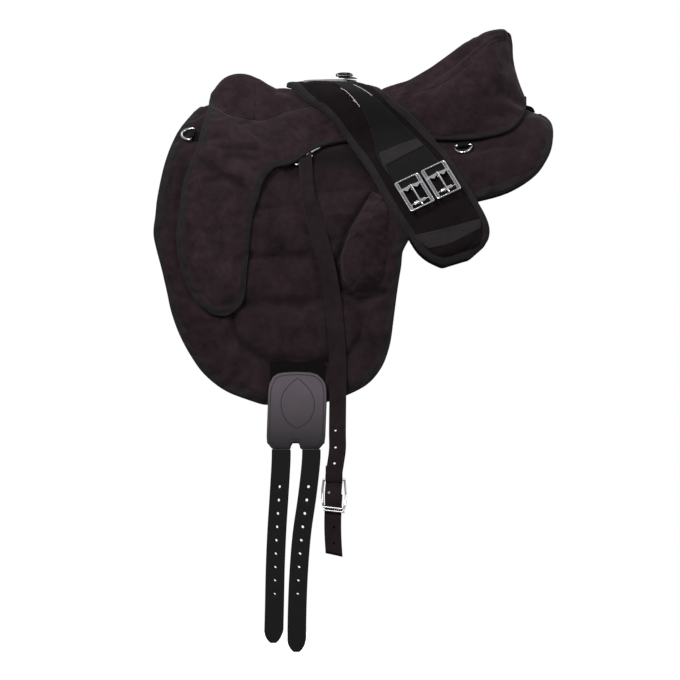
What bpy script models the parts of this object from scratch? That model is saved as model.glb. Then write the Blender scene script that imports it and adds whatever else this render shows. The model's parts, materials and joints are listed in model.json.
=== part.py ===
"""Treeless saddle in dark synthetic suede, with a short padded girth laid across its seat.

Metres, +Z up, +X towards the cantle, near side at -Y. The origin is the underside of the
pad on the spine line, at the seat's lowest station.
"""
import math

import bmesh
import bpy
from mathutils import Matrix, Vector
from mathutils.bvhtree import BVHTree

# Overall sizes, seen from the near side
SADDLE_LENGTH = 0.658
SADDLE_HEIGHT = 0.619
LOWEST_SHARE = 0.516
SPINE_SHARE = 0.293
SEAT_HALF_WIDTH = 0.110

# The back that the saddle is shaped to: a round top that runs into straight sides
BACK_RADIUS = 0.233
SPINE_TILT = math.radians(12)
SIDE_TILT = math.radians(83)
FRONT_RISE = 0.048
REAR_RISE = 0.040
RISE_REACH = 0.300

# Layers, from the back outwards
GAP = 0.0004
LAYER_GAP = 0.0009
FRONT_TAB_GAP = 0.0005
STRIP_GAP = 0.0011
UNDER_GAP = 0.0024
PANEL_THICK = 0.014
PANEL_EDGE = 0.004
STRIP_THICK = 0.002
STRIP_DROP = 0.0022
PAD_THICK = 0.016
PAD_EDGE = 0.008
PAD_ROUND = 0.028
CHANNEL_SHARE = 0.35
SPINE_GAP = 0.0005
WEB_THICK = 0.0016
WEB_HALF_WIDTH = 0.012
COVER_RAISE = 0.0100
COVER_THICK = 0.0045
INSERT_THICK = 0.005
FOAM_GAP = 0.004
FOAM_EASE = 0.0030
KNEE_THICK = 0.013
KNEE_EDGE = 0.006
KNEE_ROUND = 0.030
THIGH_THICK = 0.020
THIGH_EDGE = 0.005
THIGH_ROUND = 0.030

# Metal rings
ROD_RADIUS = 0.0021
ROD_GAP = 0.0004
HANGER_DEPTH = 0.0165
D_HALF_BAR = 0.0150
D_DEPTH = 0.0190
TAB_HALF_WIDTH = 0.0095
TAB_LENGTH = 0.024
TAB_RETURN = 0.004

# Straps below the seat
STRAP_THICK = 0.0032
STRAP_HALF_WIDTH = 0.0140
STRAP_RETURN = 0.022
STIRRUP_BUCKLE_DEPTH = 0.050
LOOP_LENGTH = 0.073
LOOP_HALF_GAP = 0.0075
CARRIER_HALF_WIDTH = 0.045
CARRIER_THICK = 0.0026
PATCH_THICK = 0.0034
PATCH_HALF_WIDTH = 0.048
PATCH_HEIGHT = 0.126
PATCH_CORNER = 0.010
NOTCH_HALF_WIDTH = 0.008
NOTCH_DEPTH = 0.016
BILLET_THICK = 0.0038
BILLET_HALF_WIDTH = 0.0150
BILLET_TIP = 0.019
BILLET_HOLES = 9
HOLE_RADIUS = 0.0024
HOLE_PITCH = 0.0222
HOLE_START = 0.060
HANG_DROP = 0.540

# Girth
GIRTH_THICK = 0.015
GIRTH_EDGE = 0.006
GIRTH_EASE = 0.0012
GIRTH_CREST_REACHES = (0, 0.060, 0.083, 0.098)
GIRTH_WEB_THICK = 0.0018
TAIL_HALF_WIDTH = 0.0118
KEEPER_THICK = 0.0018
BUCKLE_HALF_WIDTH = 0.0170
BUCKLE_DEPTH = 0.052
BUCKLE_SPACING = 0.0245
BUCKLE_ROD = 0.0023
TAIL_RETURN = 0.028
BUCKLE_PIN_SHARE = 0.36
BUCKLE_REST_SHARE = 0.70
ROLLER_WALL = 0.0010
ROLLER_LENGTH = 0.022
TONGUE_RADIUS = 0.0018
GIRTH_RING_HALF = 0.0130
GIRTH_RING_DEPTH = 0.0160
GIRTH_RING_TILT = math.radians(15)

# How finely the surfaces are divided
SEAT_STATIONS = 24
SEAT_ACROSS = 9
RIM_SHARE = 4 / 9
PAD_COLUMN_SHARES = (0, 0.02, 0.05, 0.10, 0.16, 0.22, 0.28, 0.34, 0.40, 0.46, 0.52, 0.58, 0.64, 0.70,
                     0.76, 0.82, 0.88, 0.93, 0.97, 1)
PAD_ROW_PLACES = (0, 0.5, 1, 1.5, 2, 2.5, 3, 3.5, 4, 5, 6, 7, 8, 9, 10, 11, 12, 13, 14, 15, 16)
BEND_STEPS = 6
DRAW_STEP_SHARE = 0.02
GIRTH_COLUMNS = 6
GIRTH_ROWS = 22
PRESS_ROUNDS = 14

# Lines in side elevation: shares of the saddle's length from its front edge, and of its
# height down from the cantle's top
CENTRE_SHARES = ((0.143, 0.171), (0.175, 0.140), (0.216, 0.131), (0.261, 0.140), (0.328, 0.168),
                 (0.416, 0.181), (0.541, 0.188), (0.654, 0.172), (0.747, 0.133), (0.817, 0.064),
                 (0.862, 0.022), (0.882, 0.008), (0.890, 0.008))
CREST_SHARES = ((0.140, 0.176), (0.175, 0.139), (0.216, 0.128), (0.261, 0.139), (0.328, 0.160),
                (0.416, 0.171), (0.536, 0.174), (0.647, 0.138), (0.732, 0.080), (0.805, 0.027),
                (0.855, 0.004), (0.880, 0.002), (0.897, 0.014))
SEAM_SHARES = ((0.138, 0.195), (0.180, 0.235), (0.226, 0.243), (0.276, 0.245), (0.333, 0.221),
               (0.421, 0.203), (0.531, 0.197), (0.637, 0.173), (0.717, 0.149), (0.782, 0.104),
               (0.840, 0.045), (0.877, 0.030), (0.902, 0.042))
EDGE_SHARES = ((0.113, 0.307), (0.153, 0.325), (0.206, 0.344), (0.271, 0.360), (0.333, 0.365),
               (0.421, 0.312), (0.541, 0.291), (0.679, 0.293), (0.792, 0.293), (0.875, 0.277),
               (0.912, 0.251), (0.930, 0.213), (0.935, 0.187))
# Half widths at the same stations, as shares of SEAT_HALF_WIDTH
CREST_WIDTH_SHARES = (0.20, 0.22, 0.24, 0.24, 0.24, 0.27, 0.33, 0.48, 0.54, 0.54, 0.42, 0.22, 0)
SEAM_WIDTH_SHARES = (0.42, 0.72, 0.78, 0.78, 0.70, 0.63, 0.62, 0.79, 0.95, 1.0, 0.83, 0.45, 0)

# Pad rows: front end, rear end, sag in the middle, and how full the quilting is there
PAD_ROW_SHARES = (
    (0.123, 0.184, 0.970, 0.213, 0, 1),
    (0.090, 0.221, 0.995, 0.237, 0, 1),
    (0.055, 0.275, 1.000, 0.272, 0, 1),
    (0.028, 0.352, 0.990, 0.323, 0, 1),
    (0.010, 0.445, 0.957, 0.376, 0, 1),
    (0.005, 0.496, 0.887, 0.424, 0, 0.8),
    (0.000, 0.547, 0.792, 0.453, 0, 1),
    (0.008, 0.592, 0.692, 0.485, 0, 1),
    (0.020, 0.640, 0.629, 0.573, 0, CHANNEL_SHARE),
    (0.033, 0.699, 0.617, 0.640, 0, 1),
    (0.045, 0.757, 0.607, 0.707, 0, CHANNEL_SHARE),
    (0.065, 0.816, 0.599, 0.773, 0.008, 1),
    (0.093, 0.872, 0.589, 0.845, 0.032, CHANNEL_SHARE),
    (0.128, 0.923, 0.569, 0.901, 0.021, 1),
    (0.178, 0.963, 0.531, 0.947, 0.011, 1),
    (0.241, 0.989, 0.466, 0.981, 0.005, 1),
    (0.271, 0.999, 0.431, 0.992, 0.003, 1),
)
KNEE_ROW_SHARES = (
    (0.110, 0.318, 0.326, 0.379, 0.006),
    (0.090, 0.371, 0.281, 0.419, 0.004),
    (0.075, 0.416, 0.256, 0.467, 0),
    (0.068, 0.475, 0.243, 0.523, 0),
    (0.058, 0.560, 0.238, 0.576, 0),
    (0.068, 0.640, 0.232, 0.651, 0),
    (0.088, 0.699, 0.226, 0.715, 0.004),
    (0.115, 0.741, 0.211, 0.749, 0.008),
    (0.145, 0.765, 0.185, 0.768, 0.003),
)
THIGH_ROW_SHARES = (
    (0.546, 0.437, 0.577, 0.453, 0),
    (0.519, 0.488, 0.587, 0.493, 0),
    (0.489, 0.547, 0.586, 0.555, 0),
    (0.469, 0.613, 0.582, 0.624, 0),
    (0.474, 0.669, 0.572, 0.677, 0),
    (0.499, 0.701, 0.544, 0.701, 0.005),
)
# Panel rows: front end and rear end, with the drop below the spine line
PANEL_ROW_SHARES = (
    (0.150, 0.014, 0.900, 0.014, 0),
    (0.125, 0.033, 0.925, 0.033, 0),
    (0.110, 0.070, 0.935, 0.065, 0),
    (0.110, 0.115, 0.915, 0.105, 0),
    (0.135, 0.150, 0.850, 0.140, 0),
)
# The strap, the two billets and the girth's two edges
STRAP_SHARES = ((0.383, 0.437), (0.407, 0.531), (0.436, 0.651), (0.452, 0.771), (0.460, 0.893),
                (0.460, 1.013), (0.459, 1.133))
HANGER_BAR_SHARES = ((0.340, 0.380), (0.417, 0.331))
BUCKLE_BAR_SHARES = (0.451, 1.205)
REAR_RING_SHARES = ((0.745, 0.3155), (0.807, 0.3105))
FRONT_RING_SHARES = ((0.103, 0.262), (0.090, 0.306))
PATCH_SHARES = (0.3585, 0.920)
CARRIER_TOP_SHARE = 0.893
BILLET_SHARES = (((0.3180, 1.1400), (0.313, 1.205), (0.307, 1.296), (0.303, 1.392), (0.301, 1.512),
                  (0.299, 1.640)),
                 ((0.3940, 1.1400), (0.384, 1.205), (0.370, 1.283), (0.362, 1.376), (0.358, 1.480),
                  (0.357, 1.664)))
GIRTH_FRONT_SHARES = ((0.328, 0.149), (0.366, 0.171), (0.401, 0.192), (0.436, 0.227), (0.476, 0.291),
                      (0.516, 0.349), (0.556, 0.419), (0.596, 0.491), (0.637, 0.560), (0.662, 0.595),
                      (0.692, 0.624), (0.724, 0.635))
GIRTH_REAR_SHARES = ((0.531, 0.139), (0.571, 0.155), (0.599, 0.176), (0.624, 0.197), (0.659, 0.240),
                     (0.699, 0.293), (0.739, 0.352), (0.774, 0.408), (0.810, 0.469), (0.837, 0.533),
                     (0.832, 0.576), (0.792, 0.613))
BUCKLE_PLACE_SHARES = (0.586, 0.53)
# The girth's webbing: its rows along the girth and its two edges across it
WEB_ROW_SHARES = (0.006, 0.04545, 0.0909, 0.13636, 0.1818, 0.22727, 0.2727, 0.31818, 0.3636, 0.40909,
                  0.4545, 0.468, 0.484, 0.500, 0.530)
WEB_EDGE_SHARES = ((0.63, 0.85), (0.48, 0.715), (0.437, 0.73), (0.42, 0.72), (0.377, 0.76), (0.22, 0.83),
                   (0.19, 0.87), (0.19, 0.87), (0.19, 0.87), (0.19, 0.87), (0.19, 0.87), (0.19, 0.87))
KEEPER_ROW_SHARES = WEB_ROW_SHARES[11:14]
KEEPER_EDGE_SHARES = (0.17, 0.87)
TAB_SHARE = 0.05
TAB_STEP_SHARES = (1, 0.66, 0.33)
CANTLE_TAB_SHARES = (0.925, 0.957)
# The stiff arch under the pommel: its front end, rear end and reach down each side
INSERT_SHARES = (0.165, 0.262, 0.045)

# Colour, roughness and metallic value of each finish
SUEDE = ((0.030, 0.018, 0.022), 0.95, 0)
SUEDE_DARK = ((0.020, 0.012, 0.015), 0.95, 0)
WEBBING = ((0.007, 0.007, 0.007), 0.80, 0)
LEATHER = ((0.012, 0.011, 0.012), 0.45, 0)
STRAP_SUEDE = ((0.026, 0.018, 0.020), 0.90, 0)
FOAM = ((0.55, 0.53, 0.48), 0.95, 0)
STIFFENER = ((0.06, 0.06, 0.06), 0.60, 0)
CHROME = ((0.80, 0.80, 0.82), 0.12, 1)

SIDES = {"near": -1, "off": 1}


def side_place(share):
    """Real place in side elevation of a point given as shares of length and height."""
    x = (share[0] - LOWEST_SHARE) * SADDLE_LENGTH
    z = (SPINE_SHARE - share[1]) * SADDLE_HEIGHT
    return x, z


def spine_height(x):
    """Height of the back's spine line: it rises from the seat to the withers and to the loin."""
    rise = FRONT_RISE if x < 0 else REAR_RISE
    reach = min(abs(x) / RISE_REACH, 1)
    return rise * (1 - math.cos(math.pi * reach)) / 2


def back_tilt(drop):
    return math.acos(max(math.cos(SPINE_TILT) - drop / BACK_RADIUS, math.cos(SIDE_TILT)))


def on_section(x, drop, lift, side):
    """Point raised by lift from the back, at a drop below the spine line."""
    tilt = back_tilt(drop)
    reach = BACK_RADIUS * (math.sin(tilt) - math.sin(SPINE_TILT))
    round_drop = BACK_RADIUS * (math.cos(SPINE_TILT) - math.cos(tilt))
    reach += (min(drop, HANG_DROP) - round_drop) / math.tan(SIDE_TILT)
    y = reach + lift * math.sin(tilt)
    return Vector((x, side * y, spine_height(x) - drop + lift * math.cos(tilt)))


def drop_at(x, z, lift):
    """Drop of the place whose raised point is seen at height z."""
    below = spine_height(x) - z
    drop = (below + lift * math.cos(SPINE_TILT)) / (1 + lift / BACK_RADIUS)
    if drop > BACK_RADIUS * (math.cos(SPINE_TILT) - math.cos(SIDE_TILT)):
        drop = below + lift * math.cos(SIDE_TILT)
    return max(drop, 0)


def on_back(share, lift, side):
    x, z = side_place(share)
    return on_section(x, drop_at(x, z, lift), lift, side)


def height_over_back(x, y, lift):
    """Height of the raised back's surface at plan position x, y."""
    sine = (abs(y) + BACK_RADIUS * math.sin(SPINE_TILT)) / (BACK_RADIUS + lift)
    cosine = math.sqrt(1 - min(sine, math.sin(SIDE_TILT)) ** 2)
    return spine_height(x) - BACK_RADIUS * math.cos(SPINE_TILT) + (BACK_RADIUS + lift) * cosine


def lay_on_back(point, lift, side):
    """The place on the raised back that is nearest to a point, at the same x."""
    if not side:
        return Vector((point.x, 0, spine_height(point.x) + lift))
    centre_z = spine_height(point.x) - BACK_RADIUS * math.cos(SPINE_TILT)
    out_y = side * point.y + BACK_RADIUS * math.sin(SPINE_TILT)
    tilt = math.atan2(out_y, point.z - centre_z)
    if tilt > SIDE_TILT:
        return on_section(point.x, drop_at(point.x, point.z, lift), lift, side)
    radius = BACK_RADIUS + lift
    y = radius * math.sin(tilt) - BACK_RADIUS * math.sin(SPINE_TILT)
    return Vector((point.x, side * y, centre_z + radius * math.cos(tilt)))


def clear_of_back(point, lift):
    """A point of the upper side, moved out where it is less than lift above the back."""
    centre_z = spine_height(point.x) - BACK_RADIUS * math.cos(SPINE_TILT)
    out = Vector((0, abs(point.y) + BACK_RADIUS * math.sin(SPINE_TILT), point.z - centre_z))
    if out.length >= BACK_RADIUS + lift:
        return point
    out *= (BACK_RADIUS + lift) / out.length
    y = max(out.y - BACK_RADIUS * math.sin(SPINE_TILT), 0)
    return Vector((point.x, math.copysign(y, point.y) if point.y else 0, centre_z + out.z))


def smooth_step(share):
    share = min(max(share, 0), 1)
    return share * share * (3 - 2 * share)


def read_table(table, share):
    """Smooth value at a share of the way along a table, with its own points kept."""
    place = share * (len(table) - 1)
    index = min(int(place), len(table) - 2)
    part = place - index
    rows = [table[min(max(index + step, 0), len(table) - 1)] for step in (-1, 0, 1, 2)]
    if not isinstance(rows[0], (tuple, list, Vector)):
        rows = [(row,) for row in rows]
    values = []
    for before, start, end, after in zip(*rows):
        leave = (end - before) / 2
        arrive = (after - start) / 2
        values.append(start + part * leave
                      + part * part * (3 * (end - start) - 2 * leave - arrive)
                      + part * part * part * (leave + arrive - 2 * (end - start)))
    return values[0] if len(values) == 1 else values


def distance_to_line(point, line):
    """Distance in side elevation from a point to a chain of straight runs."""
    best = math.inf
    for start, end in zip(line, line[1:]):
        run = (end[0] - start[0], end[1] - start[1])
        length = run[0] ** 2 + run[1] ** 2
        reach = (point[0] - start[0]) * run[0] + (point[1] - start[1]) * run[1]
        share = min(max(reach / length, 0), 1) if length else 0
        best = min(best, math.hypot(point[0] - start[0] - share * run[0],
                                    point[1] - start[1] - share * run[1]))
    return best


def add_object(name, mesh, finish, origin=None):
    """Link a mesh as a named object with its own finish, its origin at a given point."""
    colour, roughness, metallic = finish
    material = bpy.data.materials.new(name)
    material.use_nodes = True
    shader = material.node_tree.nodes["Principled BSDF"]
    shader.inputs["Base Color"].default_value = (*colour, 1)
    shader.inputs["Roughness"].default_value = roughness
    shader.inputs["Metallic"].default_value = metallic
    mesh.materials.append(material)
    mesh.shade_smooth()
    mesh.set_sharp_from_angle(angle=math.radians(40))
    if origin is not None:
        mesh.transform(Matrix.Translation(-origin))
    part = bpy.data.objects.new(name, mesh)
    if origin is not None:
        part.location = origin
    bpy.context.scene.collection.objects.link(part)
    return part


def face_outwards(bm):
    """Turn all faces of a closed body outwards."""
    bmesh.ops.recalc_face_normals(bm, faces=bm.faces[:])
    if bm.calc_volume(signed=True) < 0:
        bmesh.ops.reverse_faces(bm, faces=bm.faces[:])


def grid_solid(name, columns, rows, place, finish, origin=None, is_open=None):
    """Closed solid between an outer and an under surface. place(across, down, outer) gives
    each corner, with across and down as whole steps. is_open tells which cells are left out."""
    bm = bmesh.new()
    bmesh.ops.create_grid(bm, x_segments=columns, y_segments=rows, size=0.5)
    if is_open:
        gone = []
        for face in bm.faces:
            middle = face.calc_center_median()
            if is_open(int((middle.x + 0.5) * columns), int((0.5 - middle.y) * rows)):
                gone.append(face)
        bmesh.ops.delete(bm, geom=gone, context="FACES")
    outer = list(bm.verts)
    made = bmesh.ops.extrude_face_region(bm, geom=bm.faces[:])["geom"]
    under = [item for item in made if isinstance(item, bmesh.types.BMVert)]
    for verts, is_outer in ((outer, True), (under, False)):
        for vert in verts:
            across = round((vert.co.x + 0.5) * columns)
            down = round((0.5 - vert.co.y) * rows)
            vert.co = place(across, down, is_outer)
    face_outwards(bm)
    mesh = bpy.data.meshes.new(name)
    bm.to_mesh(mesh)
    bm.free()
    return add_object(name, mesh, finish, origin)


def table_line(rows, column):
    """One end of each row of an outline table, in side elevation."""
    return [side_place(row[column:column + 2]) for row in rows]


def row_point(rows, down_share, across_share):
    """Place in shares of a point on a panel, on rows that sag in the middle."""
    row = read_table(rows, down_share)
    u = row[0] + (row[2] - row[0]) * across_share
    sag = row[4] * 4 * across_share * (1 - across_share)
    return u, row[1] + (row[3] - row[1]) * across_share + sag


def panel_outline(rows):
    """The edge of a panel in side elevation: down its front, along its foot, up its rear."""
    foot = [side_place(row_point(rows, 1, step / BEND_STEPS)) for step in range(BEND_STEPS + 1)]
    return table_line(rows, 0) + foot + table_line(rows, 2)[::-1]


def soft_panel(name, side, table, row_shares, column_shares, lifts, finish, closed_top=False):
    """Padded panel over the back, full inside and drawn in at its edge. lifts holds the
    under lift, the edge's thickness, the full thickness and the width of the rounding."""
    under, edge, full, rounding = lifts
    outline = panel_outline(table)
    if closed_top:
        outline = outline + [outline[0]]

    def place(across, down, is_outer):
        share = row_point(table, row_shares[down], column_shares[across])
        x, z = side_place(share)
        fill = smooth_step(distance_to_line((x, z), outline) / rounding)
        if len(table[0]) > 5:
            fill *= read_table(table, row_shares[down])[5]
        lift = under + edge + (full - edge) * fill
        drop = max(drop_at(x, z, under + full), SPINE_GAP)
        return on_section(x, drop, lift if is_outer else under, side)

    return grid_solid(name, len(column_shares) - 1, len(row_shares) - 1, place, finish)


def band(name, path, acrosses, half_width, thick, finish, origin=None, laid=()):
    """Flat strap along a path. acrosses gives the direction of its width at each point, and
    laid gives the lift and side of those points that lie on the back, else nothing."""
    last = len(path) - 1

    def place(across, down, is_outer):
        spot = path[down] + acrosses[down] * half_width * (across - 1)
        along = (path[min(down + 1, last)] - path[max(down - 1, 0)]).normalized()
        face = along.cross(acrosses[down]).normalized() * (thick / 2 if is_outer else -thick / 2)
        if not laid or laid[down] is None:
            return spot + face
        lift, side = laid[down]
        flat = lay_on_back(spot, lift, side)
        above = lay_on_back(spot, lift + thick / 2, side) - flat
        return flat + above if face.dot(above) > 0 else flat - above

    return grid_solid(name, 2, last, place, finish, origin)


def bend_round(centre, start, end, radius, steps=BEND_STEPS):
    """Points on a half turn round a bar, from one direction through another."""
    return [centre + (start * math.cos(math.pi * step / steps)
                      + end * math.sin(math.pi * step / steps)) * radius
            for step in range(steps + 1)]


def rod_mesh(name, points, radius, closed=True, sides=2):
    """Mesh of a bent round rod through a chain of points."""
    curve = bpy.data.curves.new(name, "CURVE")
    curve.dimensions = "3D"
    curve.bevel_depth = radius
    curve.bevel_resolution = sides
    curve.use_fill_caps = True
    spline = curve.splines.new("POLY")
    spline.points.add(len(points) - 1)
    for spot, point in zip(spline.points, points):
        spot.co = (*point, 1)
    spline.use_cyclic_u = closed
    holder = bpy.data.objects.new(name, curve)
    bpy.context.scene.collection.objects.link(holder)
    bpy.context.view_layer.update()
    mesh = bpy.data.meshes.new_from_object(holder)
    bpy.data.objects.remove(holder)
    bm = bmesh.new()
    bm.from_mesh(mesh)
    bmesh.ops.remove_doubles(bm, verts=bm.verts[:], dist=radius / 100)
    bm.to_mesh(mesh)
    bm.free()
    return mesh


def join_meshes(name, meshes):
    """One body from several that cut into each other."""
    parts = []
    for index, mesh in enumerate(meshes):
        part = bpy.data.objects.new(f"{name}_piece_{index}", mesh)
        bpy.context.scene.collection.objects.link(part)
        parts.append(part)
    for part in parts[1:]:
        union = parts[0].modifiers.new("union", "BOOLEAN")
        union.operation = "UNION"
        union.object = part
    bpy.context.view_layer.update()
    shape = parts[0].evaluated_get(bpy.context.evaluated_depsgraph_get())
    joined = bpy.data.meshes.new_from_object(shape)
    for part in parts:
        bpy.data.objects.remove(part)
    joined.name = name
    return joined


def d_ring(name, centre, along, outwards, half_bar, depth, finish=CHROME):
    """Ring with a straight bar and a round bow, with its origin on the bar's axis."""
    points = [centre - along * half_bar, centre, centre + along * half_bar]
    steps = 2 * BEND_STEPS
    for step in range(1, steps):
        angle = math.pi * step / steps
        points.append(centre + along * half_bar * math.cos(angle) + outwards * depth * math.sin(angle))
    return add_object(name, rod_mesh(name, points, ROD_RADIUS), finish, centre)


def rounded_frame(centre, along, down, half_width, depth, corner):
    """Points of a rounded rectangle that hangs down from a bar."""
    points = []
    levels = (corner, depth - corner, depth - corner, corner)
    for index, (sign, level) in enumerate(zip((1, 1, -1, -1), levels)):
        for step in range(3):
            angle = math.pi / 4 * step + math.pi / 2 * (index - 1)
            spot = centre + along * (sign * (half_width - corner)) + down * level
            points.append(spot + (along * math.cos(angle) + down * math.sin(angle)) * corner)
    return points


# Seat cover and what lies under it

def seat_section(station_share, side, across_share):
    """Point on the seat's outer surface: centre line, crest, seam, then down to the edge."""
    centre = side_place(read_table(CENTRE_SHARES, station_share))
    crest = side_place(read_table(CREST_SHARES, station_share))
    seam = side_place(read_table(SEAM_SHARES, station_share))
    crest_half = SEAT_HALF_WIDTH * read_table(CREST_WIDTH_SHARES, station_share)
    seam_half = SEAT_HALF_WIDTH * read_table(SEAM_WIDTH_SHARES, station_share)
    edge_share = read_table(EDGE_SHARES, station_share)
    edge_lift = PAD_THICK + COVER_RAISE + COVER_THICK
    edge = on_back(edge_share, edge_lift, side)
    down = edge - on_back((edge_share[0], edge_share[1] - DRAW_STEP_SHARE), edge_lift, side)
    if station_share == 1:
        edge = Vector((edge.x, 0, spine_height(edge.x) + edge_lift / math.cos(SPINE_TILT)))
        down = Vector((edge.x - seam[0], 0, 0))
    top = Vector((centre[0], 0, centre[1]))
    ridge = Vector((crest[0], side * crest_half, crest[1]))
    rim = Vector((seam[0], side * seam_half, seam[1]))
    if across_share <= RIM_SHARE:
        over = Vector((0, side * 2 * crest_half, 0))
        chain = (ridge - over, top, ridge, rim, rim + (rim - ridge) / 2)
        spot = Vector(read_table(chain, (1 + 2 * across_share / RIM_SHARE) / (len(chain) - 1)))
        return clear_of_back(spot, edge_lift)
    part = (across_share - RIM_SHARE) / (1 - RIM_SHARE)
    length = (edge - rim).length
    leave = rim + (Vector((0, rim.y, -rim.z))).normalized() * length * 0.45
    arrive = edge - down.normalized() * length * 0.25
    spot = ((1 - part) ** 3 * rim + 3 * part * (1 - part) ** 2 * leave
            + 3 * part ** 2 * (1 - part) * arrive + part ** 3 * edge)
    return clear_of_back(spot, edge_lift)


def seat_point(station, across, inset=0):
    """Seat surface point by whole steps, across counted from the near edge to the off edge."""
    side = -1 if across < 0 else 1

    def surface(along_share, across_share):
        flipped = -side if across_share < 0 else side
        return seat_section(min(max(along_share, 0), 1), flipped, abs(across_share))

    along_share = station / SEAT_STATIONS
    across_share = abs(across) / SEAT_ACROSS
    point = surface(along_share, across_share)
    if not inset:
        return point
    step = 0.25 / SEAT_ACROSS
    along = surface(along_share + step, across_share) - surface(along_share - step, across_share)
    over = surface(along_share, min(across_share + step, 1)) - surface(along_share, across_share - step)
    normal = along.cross(over)
    if normal.dot(point - Vector((point.x, 0, spine_height(point.x)))) < 0:
        normal = -normal
    if station == SEAT_STATIONS or across == 0:
        normal.y = 0
    return point - normal.normalized() * inset


def build_seat_cover():
    """Shell of the seat: top panel and skirts in one, open below, its sides joined at the back."""
    bm = bmesh.new()
    bmesh.ops.create_grid(bm, x_segments=2 * SEAT_ACROSS, y_segments=SEAT_STATIONS, size=0.5)
    across_of = bm.verts.layers.int.new("across")
    station_of = bm.verts.layers.int.new("station")
    for vert in bm.verts:
        vert[across_of] = round(vert.co.x * 2 * SEAT_ACROSS)
        vert[station_of] = round((vert.co.y + 0.5) * SEAT_STATIONS)
        vert.co = seat_point(vert[station_of], vert[across_of])
    bmesh.ops.remove_doubles(bm, verts=bm.verts[:], dist=GAP / 4)
    for item in bmesh.ops.extrude_face_region(bm, geom=bm.faces[:])["geom"]:
        if isinstance(item, bmesh.types.BMVert):
            item.co = seat_point(item[station_of], item[across_of], COVER_THICK)
    face_outwards(bm)
    mesh = bpy.data.meshes.new("seat_cover")
    bm.to_mesh(mesh)
    bm.free()
    return add_object("seat_cover", mesh, SUEDE)


def build_foam(name, first, last, reach, bottom_lift):
    """Foam block under the seat cover between two stations, shaped by the cover above it
    and the pad below."""
    rows = last - first

    def place(across, down, is_outer):
        station = first + down
        point = seat_point(station, across - reach, COVER_THICK + FOAM_EASE)
        if down == rows and last < SEAT_STATIONS:
            point.x -= FOAM_GAP
        if not is_outer:
            point.z = height_over_back(point.x, point.y, bottom_lift)
        return point

    return grid_solid(name, 2 * reach, rows, place, FOAM)


def build_pommel_insert():
    """Stiff arch under the pommel foam, which keeps the front off the spine."""
    rows = 8
    lifts = (PAD_THICK + LAYER_GAP, PAD_THICK + LAYER_GAP + INSERT_THICK)
    front, rear = (side_place((share, 0))[0] for share in INSERT_SHARES[:2])
    reach = INSERT_SHARES[2] * SADDLE_HEIGHT

    def place(across, down, is_outer):
        share = across / rows * 2 - 1
        x = front + (rear - front) * down / 2
        drop = reach * abs(share)
        point = on_section(x, drop, lifts[is_outer], -1 if share < 0 else 1)
        if across == rows // 2:
            point = Vector((x, 0, spine_height(x) + lifts[is_outer]))
        return point

    return grid_solid("pommel_insert", rows, 2, place, STIFFENER)


# Metal, webbing and tabs at the seat's edge

def bar_frame(shares, lift, side):
    """Centre, direction and outward normal of a bar that lies over the back."""
    start, end = (on_back(share, lift, side) for share in shares)
    along = (end - start).normalized()
    middle = ((shares[0][0] + shares[1][0]) / 2, (shares[0][1] + shares[1][1]) / 2)
    centre = on_back(middle, lift, side)
    rise = on_back((middle[0], middle[1] - DRAW_STEP_SHARE), lift, side) - centre
    out = along.cross(rise).normalized()
    if out.y * side < 0:
        out = -out
    return centre, along, out


def tab_radius():
    return ROD_RADIUS + ROD_GAP + WEB_THICK / 2


def tab_lift(gap=LAYER_GAP):
    """Lift of a bar whose tab lies on the pad."""
    return PAD_THICK + gap + WEB_THICK / 2 + tab_radius()


def ring_tab(name, shares, side, hidden_way, gap):
    """Short webbing tab from under the cover, turned round a ring's bar."""
    centre, along, out = bar_frame(shares, tab_lift(gap), side)
    inward = along.cross(out).normalized()
    if inward.dot(hidden_way) < 0:
        inward = -inward
    radius = tab_radius()
    lift = tab_lift(gap) - radius
    path = [lay_on_back(centre + inward * TAB_LENGTH * share, lift, side) for share in TAB_STEP_SHARES]
    laid = [(lift, side)] * len(path)
    turn = bend_round(centre, -out, -inward, radius) + [centre + inward * TAB_RETURN + out * radius]
    return band(name, path + turn, [along] * len(path + turn), TAB_HALF_WIDTH, WEB_THICK, WEBBING,
                laid=laid + [None] * len(turn))


def build_edge_ring(place_name, shares, side_name, hidden_way, gap):
    side = SIDES[side_name]
    ring_tab(f"{place_name}_tab_{side_name}", shares, side, hidden_way, gap)
    centre, along, out = bar_frame(shares, tab_lift(gap), side)
    free_way = along.cross(out).normalized()
    if free_way.dot(hidden_way) > 0:
        free_way = -free_way
    d_ring(f"{place_name}_ring_{side_name}", centre, along, free_way, D_HALF_BAR, D_DEPTH)


def frame_half_width(half_width, rod):
    """Half width of a rounded frame whose straight bar takes a strap of a given half width."""
    return half_width + ROD_GAP + 2 * rod


def strap_radius():
    return ROD_RADIUS + ROD_GAP + STRAP_THICK / 2


def hanger_lift():
    return strap_hang() + strap_radius()


def hanger_frame(side):
    """Centre, direction, outward normal and upward way of the bar that holds the strap."""
    centre, along, out = bar_frame(HANGER_BAR_SHARES, hanger_lift(), side)
    up = along.cross(out).normalized()
    if up.z < 0:
        up = -up
    return centre, along, out, up


def upper_bar_centre(side):
    """Centre of the hanger ring's upper bar, sunk to the height of its webbing."""
    centre, along, out, up = hanger_frame(side)
    sink = hanger_lift() - tab_lift()
    return centre + up * math.sqrt(HANGER_DEPTH ** 2 - sink ** 2) - out * sink


def build_hanger_ring(side_name):
    side = SIDES[side_name]
    centre, along, out, up = hanger_frame(side)
    upper = upper_bar_centre(side)
    down = (centre - upper).normalized()
    half = frame_half_width(STRAP_HALF_WIDTH, ROD_RADIUS)
    points = rounded_frame(upper, along, down, half, HANGER_DEPTH, 2 * ROD_RADIUS)
    name = f"hanger_ring_{side_name}"
    return add_object(name, rod_mesh(name, points, ROD_RADIUS), CHROME)


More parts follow.
